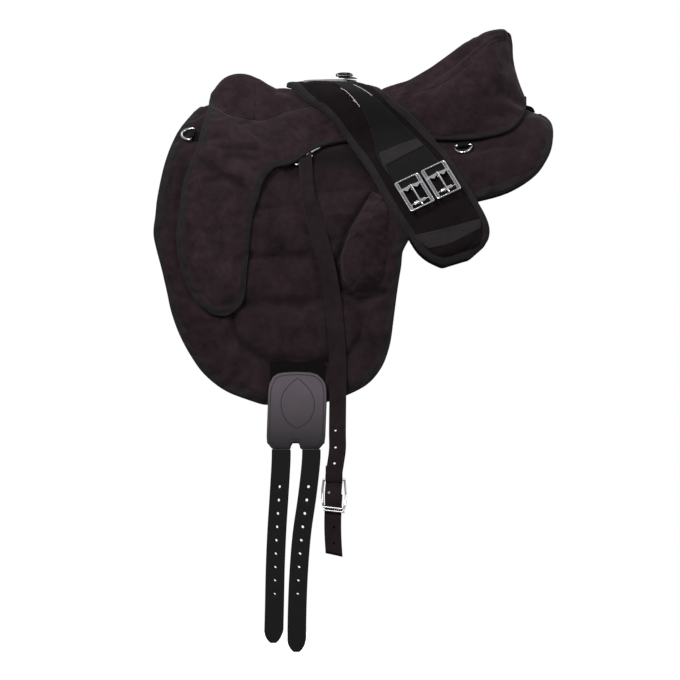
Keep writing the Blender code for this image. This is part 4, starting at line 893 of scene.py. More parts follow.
def seat_wrinkle(station, across, point):
    """How far the cover's suede stands off its plain form."""
    over = abs(across)
    puff = -0.0016 * hill((over - RIM_SHARE) * ACROSS_LENGTH, 0.007)
    rear = ease((station - 0.42) / 0.2) * ease((1 - station) * 6)
    top = ease((RIM_SHARE - over) * 14) * ease(over * 8)
    drift = 0.022 * ripple(station * 5, 1.0, 3.0)
    lengthwise = 0
    for place, depth in LONG_CREASES:
        away = over - place - drift
        lengthwise += 0.6 * depth * hill(away - 0.035, 0.016) - depth * hill(away, 0.013)
    lengthwise *= rear * top
    if over < RIM_SHARE + 0.06:
        for line, height in FOLD_LINES:
            away, _ = to_line((point.x, point.z), line)
            lengthwise += height * (hill(away, 0.0034) - 0.8 * hill(away - 0.0072, 0.0036))
    cloth = ripple(point.x * 16, point.y * 20, point.z * 34)
    fine = ripple(point.x * 48, point.y * 60, point.z * 85 + 7)
    return puff + lengthwise + 0.0011 * cloth + 0.0004 * fine


def fold_depth(flat):
    """Creases where the lobe hangs from the seat's side."""
    return sum(0.0034 * hill(to_line(flat, line)[0], 0.0065) for line in FLAT_FOLDS)


def lobe_place(column, down):
    """Side elevation of a point of the lobe, which starts at the skirt's edge."""
    x, z = row_point(LOBE_ROWS, down, column)
    start = row_point(LOBE_ROWS, 0, column)
    edge = side_place(read_table(EDGE_LINE, column * LOBE_STATION))
    keep = 1 - ease(down * 4)
    return x + (edge[0] - start[0]) * keep, z + (edge[1] - start[1]) * keep


def lobe_spot(column, down, side, is_outer):
    place = lobe_place(column, down)
    flat = unrolled(place)
    away, _ = to_line(flat, LOBE_OUTLINE)
    start, lift = COVER_LIFT - COVER_WALL, LOBE_UNDER
    if is_outer:
        start = COVER_LIFT
        lift += LOBE_EDGE + (LOBE_FULL - LOBE_EDGE) * ease(away / 0.026) - 0.0016 * hill(away - 0.017, 0.006)
    lift = start + (lift - start) * ease(down * 3.2)
    point = on_back(place, lift, side)
    if is_outer:
        cloth = ripple(point.x * 22, 4.0, point.z * 26)
        fine = ripple(point.x * 60, 9.0, point.z * 75)
        lift += (0.0013 * cloth + 0.0005 * fine) * ease(away / 0.012) - fold_depth(flat)
        point = on_back(place, lift, side)
    return point


def seat_place(station, across, is_outer):
    """Final point of the seat's sheet, with the fold that crosses it there."""
    point, normal = seat_spot(station, across)
    folded = 0
    if abs(across) > RIM_SHARE and point.x < -0.10:
        folded = fold_depth(unrolled((point.x, point.z)))
    shift = (seat_wrinkle(station, across, point) - folded) * ease((1 - station) * 20)
    keep = min(ease((1 - abs(across)) * 8) + (station < LOBE_STATION), 1)
    return point + normal * (shift * keep if is_outer else -COVER_WALL), folded


def seat_corner(column, row, is_outer):
    """Place of a corner of the seat's grid, its seam numbers and how firmly it is sewn."""
    across = (column - SEAT_ACROSS) / SEAT_ACROSS
    station = (SEAT_STATIONS - row) / SEAT_STATIONS
    point, folded = seat_place(station, across, is_outer)
    away = abs(abs(across) - RIM_SHARE) * ACROSS_LENGTH
    if abs(across) < RIM_SHARE:
        away = min(away, to_line((point.x, point.z), POMMEL_SEAM)[0])
    shade = min(folded * CREASE_SHADE, DEEPEST_SHADE) if is_outer else 0
    at_rim = abs(across) > 0.96 and station > LOBE_STATION or station < 0.03 or station > 0.97
    return point, (away, station * 0.5, shade), 1 if at_rim or not is_outer else hill(away, 0.006)


def lobe_corner(column, row, side, is_outer):
    """The same for a lobe's grid, whose first row is on the skirt's edge."""
    share, down = column / LOBE_COLUMNS, row / LOBE_DOWN
    if row:
        point = lobe_spot(share, down, side, is_outer)
    else:
        point, _ = seat_place(column / SEAT_STATIONS, side, is_outer)
    creased = fold_depth(unrolled(lobe_place(share, down))) if is_outer else 0
    held = share in (0, 1) or down == 1 or not is_outer
    return point, (NO_SEAM[0], 0, min(creased * CREASE_SHADE, DEEPEST_SHADE)), int(held)


def build_upper_cover():
    """Seat and both lobes as two sheets, joined along their rims."""
    bm = bmesh.new()
    seams = bm.verts.layers.float_vector.new("seam")
    outer_of = bm.verts.layers.int.new("outer")
    sewn = bm.verts.layers.float.new("sewn")
    for side in (0, -1, 1):
        columns, rows = (LOBE_COLUMNS, LOBE_DOWN) if side else (2 * SEAT_ACROSS, SEAT_STATIONS)
        for is_outer in (True, False):
            made = bmesh.ops.create_grid(bm, x_segments=columns, y_segments=rows, size=0.5)["verts"]
            for vert in made:
                place = grid_place(vert, columns, rows)
                vert[outer_of] = int(is_outer)
                corner = lobe_corner(*place, side, is_outer) if side else seat_corner(*place, is_outer)
                vert.co, vert[seams], vert[sewn] = corner
    for is_outer in (1, 0):
        rim = [vert for vert in bm.verts
               if vert[outer_of] == is_outer and any(edge.is_boundary for edge in vert.link_edges)]
        bmesh.ops.remove_doubles(bm, verts=rim, dist=0.0016)
    bmesh.ops.bridge_loops(bm, edges=[edge for is_outer in (1, 0) for edge in bm.edges
                                      if edge.is_boundary and edge.verts[0][outer_of] == is_outer])
    return bm


def cover_rims():
    """The cover's bound edge on the near side, from the front over the lobe to the rear."""
    outer, under = [], []

    def on_seat(station, across):
        point, normal = seat_spot(station, across)
        outer.append(point)
        under.append(point - normal * COVER_WALL)

    def on_lobe(column, down):
        outer.append(lobe_spot(column, down, NEAR, True))
        under.append(lobe_spot(column, down, NEAR, False))

    for step in range(37):
        on_seat(0, -step / 36)
    for step in range(1, 40):
        on_lobe(0, step / 40)
    for step in range(13):
        on_lobe(step / 12, 1)
    for step in range(1, 40):
        on_lobe(1, 1 - step / 40)
    for step in range(LOBE_COLUMNS + 1, SEAT_STATIONS + 1):
        on_seat(step / SEAT_STATIONS, -1)
    return outer, under


def build_cover():
    cover = finish_piece(build_upper_cover(), "upper_cover", "saddle_body", SUEDE, "suede",
                         ("seat_cover", "knee_flap_near", "knee_flap_off"), 1, 0)
    filled_out(cover, 0.006, ("girth_pad", "hanger_ring_near", "hanger_ring_off", "front_ring_near",
                              "front_ring_off", "front_tab_near", "front_tab_off"), 4, 0.03)
    cover.data.attributes.remove(cover.data.attributes["outer"])
    other_side(bind_edge("cover_binding_near", *cover_rims(), tree_of(cover.data), 0.0115, 0.0009,
                         "saddle_body"))


# Pads, thigh blocks and the cushions beneath

FLAT_CHANNELS = [([unrolled(at(*place)) for place in line], depth) for line, depth in CHANNELS]
SKIRT_SHADE = [at(*place) for place in ((306, 163), (330, 160), (352, 158), (368, 170))]
PAD_COLUMNS = 72
PAD_DOWN = 84
PAD_EDGE = 0.008
LEAST_DROP = 0.0005
THIGH_COLUMNS = 24
THIGH_DOWN = 48
PANEL_COLUMNS = 60
PANEL_DOWN = 20
PANEL_TOP = -0.0024
PAD_NEIGHBOURS = ("stirrup_strap_near", "hanger_ring_near", "girth_carrier_near", "billet_patch_near",
                  "front_ring_near", "front_tab_near", "rear_ring_near", "rear_tab_near", "girth_pad",
                  "knee_flap_near", "thigh_block_near", "seat_cover", "spine_strip", "hanger_webbing")


def channel_at(flat):
    """Distance to the nearest sewn channel, its depth and the place along it."""
    best = (math.inf, 0, 0)
    for line, depth in FLAT_CHANNELS:
        away, run = to_line(flat, line)
        if away < best[0]:
            best = (away, depth, run)
    return best


def painted_skirt_shadow(place):
    """Painted shadow: how dark the pad's suede is painted where the skirt always covers it and shades it."""
    return 0.85 * hill(to_line(place, SKIRT_SHADE)[0], 0.022)


def build_pad():
    outline = outline_of(PAD_ROWS, False)

    def place(across, down, is_outer):
        spot = row_point(PAD_ROWS, down / PAD_DOWN, across / PAD_COLUMNS)
        drop = max(drop_at(*spot, PAD_LIFT), LEAST_DROP)
        if not is_outer:
            return on_section(spot[0], drop, 0, NEAR)
        flat = unrolled(spot)
        away, _ = to_line(flat, outline)
        line, depth, _ = channel_at(flat)
        fill = ease(away / 0.028) * (1 - 0.95 * depth * hill(line, 0.0075))
        cloth = ripple(flat[0] * 24, flat[1] * 26, 2.0)
        fine = ripple(flat[0] * 65, flat[1] * 70, 5.0)
        lift = PAD_EDGE + (PAD_LIFT - PAD_EDGE) * fill
        lift += (0.0009 * cloth + 0.0004 * fine) * ease(away / 0.014)
        return on_section(spot[0], drop, lift, NEAR)

    bm = padded_solid(PAD_COLUMNS, PAD_DOWN, place)
    seams = bm.verts.layers.float_vector["seam"]
    sewn = bm.verts.layers.float["sewn"]
    for vert in bm.verts:
        spot = (vert.co.x, vert.co.z)
        line, depth, run = channel_at(unrolled(spot))
        # Painted shade: the deep channels are darkened, and the painted shadow under the skirt is laid over
        # them
        painted_channel_shade = hill(line, 0.0048) * (0.9 if depth > 1 else 0.45 * depth)
        vert[seams] = (line if depth > 0.4 else NO_SEAM[0], run, max(painted_skirt_shadow(spot), painted_channel_shade))
        vert[sewn] = max(vert[sewn], hill(line, 0.004))
    pad = finish_piece(bm, "quilted_pad_near", "saddle_body", PAD_SUEDE, "suede", ("pad_near",), 1, 0)
    filled_out(pad, 0.006, PAD_NEIGHBOURS, 5, 0.05)
    cushion_pair(pad)
    chain = [(0, step) for step in range(PAD_DOWN)]
    chain += [(step, PAD_DOWN) for step in range(0, PAD_COLUMNS + 1, 3)]
    chain += [(PAD_COLUMNS, PAD_DOWN - step) for step in range(1, PAD_DOWN + 1)]
    rims = [[place(*spot, is_outer) for spot in chain] for is_outer in (True, False)]
    other_side(bind_edge("pad_binding_near", *rims, tree_of(pad.data), 0.0130, 0.0010, "saddle_body"))


def build_thigh_block():
    outline = outline_of(THIGH_ROWS, True)

    def place(across, down, is_outer):
        spot = row_point(THIGH_ROWS, down / THIGH_DOWN, across / THIGH_COLUMNS)
        if not is_outer:
            return on_back(spot, LOBE_UNDER - 0.004)
        flat = unrolled(spot)
        away, _ = to_line(flat, outline)
        fill = math.sqrt(ease(away / 0.024))
        cloth = ripple(flat[0] * 40, flat[1] * 40, 12.0)
        return on_back(spot, LOBE_UNDER - 0.003 + 0.023 * fill + 0.0010 * cloth * fill)

    block = finish_piece(padded_solid(THIGH_COLUMNS, THIGH_DOWN, place), "thigh_pad_near", "saddle_body",
                         PAD_SUEDE, "suede", ("thigh_block_near",), 1, 0)
    filled_out(block, 0.006, ("stirrup_strap_near", "girth_pad"), 5, 0.04)
    cushion_pair(block)


def panel_place(across, down):
    """Place on a spine cushion: along, and minus the drop below the spine line."""
    row = read_table(PANEL_ROWS, down)
    u = row[0] + (row[2] - row[0]) * across
    v = row[1] + (row[3] - row[1]) * across
    return (u - LOWEST_SHARE) * LENGTH, -v * HEIGHT


def build_underpanel():
    outline = [panel_place(step / 24, 0) for step in range(25)]
    outline += [panel_place(1, step / 8) for step in range(1, 9)]
    outline += [panel_place(1 - step / 24, 1) for step in range(1, 25)]
    outline += [panel_place(0, 1 - step / 8) for step in range(1, 9)]
    seam_lines = [[panel_place(share, step / 8) for step in range(9)] for share in (0.28, 0.52, 0.76)]

    def place(across, down, is_outer):
        spot = panel_place(across / PANEL_COLUMNS, down / PANEL_DOWN)
        if is_outer:
            return on_section(spot[0], -spot[1], PANEL_TOP, NEAR)
        fill = ease(to_line(spot, outline)[0] / 0.024)
        for seam in seam_lines:
            fill *= 1 - 0.55 * hill(to_line(spot, seam)[0], 0.008)
        cloth = ripple(spot[0] * 30, spot[1] * 30, 22.0)
        return on_section(spot[0], -spot[1], PANEL_TOP - 0.004 - 0.0095 * fill - 0.0008 * cloth * fill, NEAR)

    panel = finish_piece(padded_solid(PANEL_COLUMNS, PANEL_DOWN, place), "spine_cushion_near", "saddle_body",
                         GIRTH_SUEDE, "suede_dark", ("underpanel_near",), 1, 0)
    filled_out(panel, 0.003, ("pad_near", "spine_strip"), 3, 0.02)
    cushion_pair(panel)


# Straps, patch and billets

STRAP_HOLES = ((335.5, 431), (335.5, 448), (334.5, 464))
LOOP_HOLES = ((326.6, 528), (327.5, 544))
STRAP_HOLE = 0.0021
BILLET_HALF = 0.015
TIP = 0.019
POINT = ((0.3, 0.93), (0.55, 0.80), (0.8, 0.58), (0.94, 0.40), (1, 0.28))
FIRST_HOLE = 0.060
HOLE_PITCH = 0.0222
HOLE_COUNT = 9
BILLET_HOLE = 0.0025
PATCH_THICK = 0.0034
BILLET_LINES = (
    ("front", ((0.3180, 1.1400), (0.313, 1.205), (0.307, 1.296), (0.303, 1.392), (0.301, 1.512),
               (0.299, 1.640))),
    ("rear", ((0.3940, 1.1400), (0.384, 1.205), (0.370, 1.283), (0.362, 1.376), (0.358, 1.480),
              (0.357, 1.664))))
PATCH_OUTLINE = (
    (268, 403.5), (268.3, 395), (269.6, 385), (273.2, 378.2), (277.5, 375), (283, 373.7), (297, 373),
    (310, 373.6), (317.5, 375.6), (322.4, 380.3), (325, 384.5), (326.2, 389.5), (326.6, 402),
    (325.2, 437.2), (324.3, 443), (318.8, 449.3), (300.2, 449.3), (299.6, 446), (298, 443.6),
    (295, 442.8), (292, 443.6), (290.6, 446), (289.8, 449.3), (271.8, 449.3), (267.2, 443.6),
    (266.8, 437))
PATCH_EDGE = (
    (274, 447), (269.8, 441.6), (270.4, 404), (270.9, 395), (272.2, 387), (275.4, 380.6), (279, 377.6),
    (284, 376.4), (297, 375.7), (310, 376.3), (316, 378.1), (320.2, 382), (322.6, 386), (323.6, 391),
    (324, 402), (322.6, 437), (321.6, 441.6), (317, 447), (303.6, 447), (302.4, 442.6), (299.4, 440.2),
    (295, 439.4), (290.6, 440.2), (287.6, 442.6), (286.4, 447), (274, 447))
PATCH_LEAF = (
    (298, 379), (291, 384.5), (285, 391.5), (281.5, 400), (281.5, 409), (284.5, 418), (290, 425),
    (296, 429), (303, 426.5), (310, 420), (314, 410), (314, 401), (310.5, 392), (304, 384.5), (298, 379))


def build_strap(node, body, places, side):
    """A packed strap with eased edges and punched holes. A loop hangs a little askew."""
    low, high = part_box(node)
    middle = (low.x + high.x) / 2
    is_loop = "loop" in node
    tree = tree_of(node)
    spots = []
    for place in places:
        x, z = at(*place)
        hit = tree.ray_cast(Vector((middle if is_loop else x, side, z)), Vector((0, -side, 0)))[0]
        if hit:
            spots.append(hit)
    bm = smooth_copy(node)
    laid = bm.verts.layers.float_vector.new("laid")
    seams = bm.verts.layers.float_vector.new("seam")
    for vert in bm.verts:
        vert[laid] = (vert.co.x, vert.co.z, 0)
        vert[seams] = NO_SEAM
        if is_loop:
            down = (high.z - vert.co.z) / (high.z - low.z)
            vert.co.x -= 0.0022 * math.sin(math.pi * min(max(down, 0), 1))
            vert.co.z -= (vert.co.x - middle) * 0.22 * ease(down * 1.5 - 0.3)
    piece = finish_piece(bm, f"suede_{node}", body, STRAP_SUEDE, "strap_suede", (node,), 0, 40)
    punch(piece, spots, STRAP_HOLE)
    bevel_edges(piece, 0.0006)


def build_straps():
    for side_name, side in (("near", -1), ("off", 1)):
        build_strap(f"stirrup_strap_{side_name}", f"stirrup_strap_{side_name}", STRAP_HOLES, side)
        build_strap(f"stirrup_loop_{side_name}", f"stirrup_buckle_{side_name}", LOOP_HOLES, side)


def build_billet(word, line):
    """Pointed strap with round punched holes and a rubbed edge."""
    node = f"billet_{word}_near"
    low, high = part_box(node)
    middle_y = (low.y + high.y) / 2
    top, foot = high.z, low.z
    start, end = side_place(line[0])[1], side_place(line[-1])[1]

    def centre(z):
        share = min(max((start - z) / (start - end), 0), 1)
        return side_place(read_table(line, share))[0]

    heights = [top - 0.0005]
    heights += [top - 0.002 + (foot + TIP - top + 0.002) * step / 30 for step in range(31)]
    halves = [BILLET_HALF] * len(heights)
    for share, width in POINT:
        heights.append(foot + TIP * (1 - share))
        halves.append(BILLET_HALF * width)

    def place(across, down, is_outer):
        z = heights[down]
        depth = LEATHER_THICK / 2 if is_outer else -LEATHER_THICK / 2
        return Vector((centre(z) + halves[down] * (across / 2 - 1), middle_y - depth, z))

    piece = finish_piece(padded_solid(4, len(heights) - 1, place), f"billet_strap_{word}_near", node,
                         BILLET_LEATHER, "leather", (node,), 0, 40)
    first = top - LEATHER_THICK / 2 - FIRST_HOLE
    holes = [first - HOLE_PITCH * hole for hole in range(HOLE_COUNT)]
    punch(piece, [Vector((centre(z), middle_y, z)) for z in holes], BILLET_HOLE)
    bevel_edges(piece, 0.0007)
    other_side(piece)


def build_patch():
    """Leather patch with stitched edge and a stitched leaf."""
    (upper, lower), _ = run_line(tree_of("billet_patch_near"), ((280, 382), (280, 444)), 0)
    lean = (lower.y - upper.y) / (lower.z - upper.z)
    bm = bmesh.new()
    verts = []
    for place in PATCH_OUTLINE:
        x, z = at(*place)
        verts.append(bm.verts.new((x, upper.y + (z - upper.z) * lean, z)))
    bmesh.ops.contextual_create(bm, geom=verts)
    under = [vert for vert, is_outer in with_under_sheet(bm) if not is_outer]
    bmesh.ops.translate(bm, vec=(0, PATCH_THICK, 0), verts=under)
    patch = finish_piece(bm, "leather_patch_near", "saddle_body", LEATHER, "leather",
                         ("billet_patch_near",), 0, 40)
    bevel_edges(patch, 0.0010, 3)
    other_side(patch)
    tree = tree_of(patch.data)
    for name, line in (("patch_edge", dense(PATCH_EDGE)), ("patch_leaf", dense(PATCH_LEAF, True))):
        sew(f"{name}_stitches", tree, line, 0.0002, "saddle_body", BLACK_THREAD, 0.0028, 0.0036, 0.0006)


# Girth

GIRTH_SEAM = ((428.4, 253.6), (437, 257.3), (452, 257.3), (466.6, 250.7), (476.8, 239), (479, 228.7))
WEB_FRONT = ((333, 83), (343, 89.5), (351, 97), (358, 105.5), (366.5, 119), (372, 134), (375, 148),
             (378, 160), (384, 168.5), (391, 178), (397.5, 188))
WEB_REAR = ((352, 81.5), (363, 88), (374, 96.7), (387, 108.4), (398.5, 120), (409.5, 131), (419, 140.5),
            (426, 148), (432, 155), (438.5, 163), (445, 172))
CREST_TOPS = (0.0968, 0.0980, 0.0988, 0.0992, 0.0992, 0.0990, 0.0974)
WEB_STITCHES = (("front", ((338.5, 86.5), (345, 90.2), (352, 97), (358, 104.5), (361, 109))),
                ("rear", ((353.5, 84), (361, 88), (368, 92.4), (374, 97.3))))
BAND_STITCHES = (("upper", ((414, 238), (445, 231), (478, 221.5))),
                 ("lower", ((430, 248.5), (452, 243), (479, 228))))


def rim_loops(bm):
    """The two chains of rim points of a padded strip."""
    links = {}
    for edge in bm.edges:
        if len(edge.link_faces) == 2 and edge.calc_face_angle() > 0.8:
            for vert, other in (edge.verts, reversed(edge.verts)):
                links.setdefault(vert, []).append((edge.calc_face_angle(), other))
    left = sorted(links, key=lambda vert: vert.index)
    loops = []
    while left:
        spot = left.pop(0)
        loop = [spot.co.copy()]
        while ahead := [(angle, vert) for angle, vert in links[spot] if vert in left]:
            spot = max(ahead, key=lambda pair: (round(pair[0], 3), pair[1].index))[1]
            left.remove(spot)
            loop.append(spot.co.copy())
        loops.append(loop)
    loops.sort(key=len, reverse=True)
    return loops[:2]


def rounded_chain(loop, count=8):
    """More points on a smooth closed curve through a chain, its small jogs evened out."""
    table = loop[-2:] + loop + loop[:3]
    last = len(table) - 1
    chain = [Vector(read_table(table, (2 + step / count) / last)) for step in range(len(loop) * count)]
    for _ in range(10):
        chain = [(chain[step - 1] + chain[step] * 2 + chain[(step + 1) % len(chain)]) / 4
                 for step in range(len(chain))]
    return chain


def build_girth_cushion():
    """Padded girth with its bound edge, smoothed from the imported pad. Gives its faces for rays."""
    bm = merged_copy("girth_pad")
    high, low = rim_loops(bm)
    bm.free()
    bm = smooth_copy("girth_pad")
    seams = bm.verts.layers.float_vector.new("seam")
    line = [at(*place) for place in GIRTH_SEAM]
    for vert in bm.verts:
        spot = vert.co
        away, _ = to_line((spot.x, spot.z), line)
        vert[seams] = (away, 0, 0)
        cloth = ripple(spot.x * 28, abs(spot.y) * 28, spot.z * 28)
        vert.co = spot + vert.normal * (0.0009 * cloth - 0.0008 * hill(away, 0.004))
    cushion = finish_piece(bm, "girth_cushion", "girth", GIRTH_SUEDE, "suede_dark", ("girth_pad",), 1, 0)
    if sum(point.z for point in low) / len(low) > sum(point.z for point in high) / len(high):
        high, low = low, high
    partners = [min(low, key=lambda other: (other - point).length) for point in high]
    tree = tree_of(cushion.data)
    bind_edge("girth_binding", rounded_chain(high), rounded_chain(partners), tree, 0.0108, 0.0012,
              "girth", True)
    return tree


def laid_strip(name, tree, first, second, material, thick, columns, rows, lift, hides=()):
    """Thin strip sewn on the girth between two lines of its side elevation."""
    bm = flat_grid(columns, rows)
    laid = bm.verts.layers.float_vector.new("laid")
    for vert, is_outer in with_under_sheet(bm):
        across, down = vert.co.x + 0.5, 0.5 - vert.co.y
        start, end = read_table(first, across), read_table(second, across)
        place = (start[0] + (end[0] - start[0]) * down, start[1] + (end[1] - start[1]) * down)
        points, _ = run_line(tree, [place], lift + thick if is_outer else lift)
        vert[laid] = (down * 0.040, across * 0.16, 0)
        vert.co = points[0]
    return finish_piece(bm, name, "girth", material, "webbing", hides, 1, 40)


def build_crest_tab(tree):
    """Smooth grey tab sewn along the girth's crest, which carries the small ring."""
    first, last, half = at(303, 0)[0], at(357, 0)[0], 0.0300

    def place(across, down, is_outer):
        share, over = across / 18, down / 4 - 1
        x, y = first + (last - first) * share, half * over
        hit = tree.ray_cast(Vector((x, y, 1)), Vector((0, 0, -1)))[0]
        low = hit.z if hit else 0.090
        if not is_outer:
            return Vector((x, y, low - 0.0012))
        top = read_table(CREST_TOPS, share)
        return Vector((x, y, max(low + 0.0012, low + (top - low) * ease((1 - abs(over)) * 2.2))))

    bm = padded_solid(18, 8, place)
    laid = bm.verts.layers.float_vector.new("laid")
    for vert in bm.verts:
        vert[laid] = (vert.co.y, vert.co.x, 0)
    finish_piece(bm, "crest_tab", "girth", GREY_TAPE, "webbing", (), 1, 50)


def build_cantle_tab():
    """Folded webbing behind the cantle, from the pad's top up to the tab's packed height."""
    carriers = [tree_of(bpy.data.objects[name].data) for name in ("quilted_pad_near", "upper_cover")]
    first, last, half = 0.2640, 0.2905, 0.0095

    def place(across, down, is_outer):
        share, over = across / 12, down / 4 - 1
        x, y = first + (last - first) * share, half * over
        beside = Vector((x, -max(abs(y), 0.004), 0.5))
        hits = [tree.ray_cast(beside, Vector((0, 0, -1)))[0] for tree in carriers]
        packed = 0.0595 - 0.0075 * share - 0.0010 * over ** 2
        low = min([hit.z - 0.0006 for hit in hits if hit and hit.z < packed], default=packed - 0.008)
        if not is_outer:
            return Vector((x, y, low))
        round_end = math.sqrt(max(0.0, 1 - max(0.0, (share - 0.72) / 0.28) ** 2))
        return Vector((x, y, max(low + 0.0010, low + (packed - low) * round_end)))

    finish_piece(padded_solid(12, 8, place), "cantle_fold", "saddle_body", WEBBING, "webbing",
                 ("cantle_tab",), 1, 50)


def build_girth_details(pad):
    """Webbing, keeper, end band and stitches on the girth, the same on both sides."""
    build_crest_tab(pad)
    web = laid_strip("girth_web_near", pad, WEB_FRONT, WEB_REAR, LACED_WEBBING, 0.0018, 44, 8, 0.0004,
                     ("girth_webbing_near",))
    webs = tree_of(web.data)
    keeper = laid_strip("girth_crossband_near", webs, ((375.5, 155.3), (397, 146), (417.6, 138.6)),
                        ((383, 168), (404, 156.8), (424.2, 146.3)), BAND_TAPE, 0.0012, 14, 4, 0.0003,
                        ("girth_keeper_near",))
    band = laid_strip("girth_end_band_near", pad, ((412, 237), (445, 229.5), (480, 220)),
                      ((429, 250), (452, 244.5), (481, 229)), BAND_TAPE, 0.0010, 18, 4, 0.0002)
    for strip in (web, keeper, band):
        other_side(strip)
    for name, line in WEB_STITCHES:
        sew(f"web_stitches_{name}", webs, dense(line, True), 0.0003, "girth", WHITE_THREAD,
            0.0036, 0.0042, 0.00045)
    bands = tree_of(band.data)
    for name, line in BAND_STITCHES:
        sew(f"band_stitches_{name}", bands, dense(line, True), 0.0002, "girth", BLACK_THREAD,
            0.0026, 0.0036, 0.0003)


# Metal

BUCKLE_HALF = 0.0212
INNER_RAIL = BUCKLE_HALF - 0.0046
TONGUE_STRETCH = 0.0095
HANGER_ARC = (((303, 149), 0.0215), ((302.6, 153), 0.0235), ((306, 155.2), 0.0262), ((311, 152.8), 0.0272),
              ((316, 150.0), 0.0272), ((320.5, 147.4), 0.0262), ((322, 143), 0.0225))
BUCKLE_WEB = ((-0.024, -0.0030), (-0.019, -0.0034), (-0.012, -0.0030), (-0.006, -0.0026),
              (-0.0030, -0.0034), (-0.0005, -0.0038))


def joint_of(name):
    joint = next(item for item in frame["record"]["behaviour"]["joints"] if item["name"] == name)
    return Vector(joint["pos_m"]), Vector(joint["axis"]).normalized()


def metal_pair(name, body, shapes, finish=CHROME, hides=(), sharp=45):
    other_side(finish_piece(joined(*shapes), name, body, finish, "chrome", hides, 0, sharp))


def rounded_metal(node, name, body=None, finish=CHROME, stretch=None):
    """A packed metal piece with its facets rounded off."""
    bm = merged_copy(node)
    if stretch:
        for vert in bm.verts:
            stretch(vert)
    piece = finish_piece(bm, name, body or node, finish, "chrome", (node,), 2, 0)
    full = piece.modifiers.new("full rod", "DISPLACE")
    full.strength, full.mid_level = 0.00012, 0


def build_girth_buckle(word):
    """Frame with a scalloped pin plate and a third bar, round its packed tongue and roller."""
    pin, over = joint_of(f"tongue_swing_{word}_near")
    roller, _ = joint_of(f"roller_spin_{word}_near")
    if over.x < 0:
        over = -over
    depth = (roller - pin).length
    down = (roller - pin).normalized()
    out = over.cross(down).normalized()
    if out.y > 0:
        out = -out
    half = BUCKLE_HALF

    def spot(across, along, proud=0):
        return pin + over * across + down * along + out * proud

    head, foot = -0.0190, depth + 0.0105
    corners = [spot(-half, head), spot(half, head), spot(half, foot), spot(-half, foot)]
    bars = [rod(rounded_corners(corners, 0.0030), 0.0015, closed=True),
            rod([spot(0.004 - half, depth), spot(0, depth, -0.0002), spot(half - 0.004, depth)], 0.0009)]

    def scallop(share):
        share = abs(share)
        return 0.0012 + 0.0042 * hill(share - 0.42, 0.16) + 0.0022 * hill(share - 0.92, 0.10)

    def plate_place(across, row, is_outer):
        share = across / 12 - 1
        top = -0.0026 - 0.0012 * hill(share, 0.25)
        return spot(half * share, top + (scallop(share) - top) * row / 3, 0.0012 if is_outer else -0.0010)

    bars.append(padded_solid(24, 3, plate_place))
    inlays = []
    for side in (-1, 1):
        bars.append(rod([spot(side * INNER_RAIL, head + 0.0010), spot(side * INNER_RAIL, foot - 0.001)],
                        0.0009))

        def rail_place(across, row, is_outer, side=side):
            return spot(side * (INNER_RAIL + (half - INNER_RAIL) * across), head + (foot - head) * row / 6,
                        -0.0001 if is_outer else -0.0012)

        inlays.append(padded_solid(1, 6, rail_place))
    metal_pair(f"buckle_groove_{word}_near", "girth", inlays, DARK_METAL)
    metal_pair(f"ornate_girth_buckle_{word}_near", "girth", bars, hides=(f"girth_buckle_{word}_near",))
    for side_name, side in (("near", 1), ("off", -1)):
        node = f"girth_roller_{word}_{side_name}"
        rounded_metal(node, f"round_{node}")
        mirror = Vector((1, side, 1))

        def stretched(vert, mirror=mirror):
            run = (vert.co * mirror - pin).dot(down)
            vert.co += down * mirror * TONGUE_STRETCH * ease((run - depth * 0.45) / (depth * 0.5))

        node = f"girth_tongue_{word}_{side_name}"
        rounded_metal(node, f"round_{node}", stretch=stretched)
    loop = [spot(0, along, proud) for along, proud in BUCKLE_WEB]
    other_side(finish_piece(strip_along(loop, over, 0.0140, 0.0018), f"buckle_web_{word}_near", "girth",
                            LACED_WEBBING, "webbing", (), 1, 40))


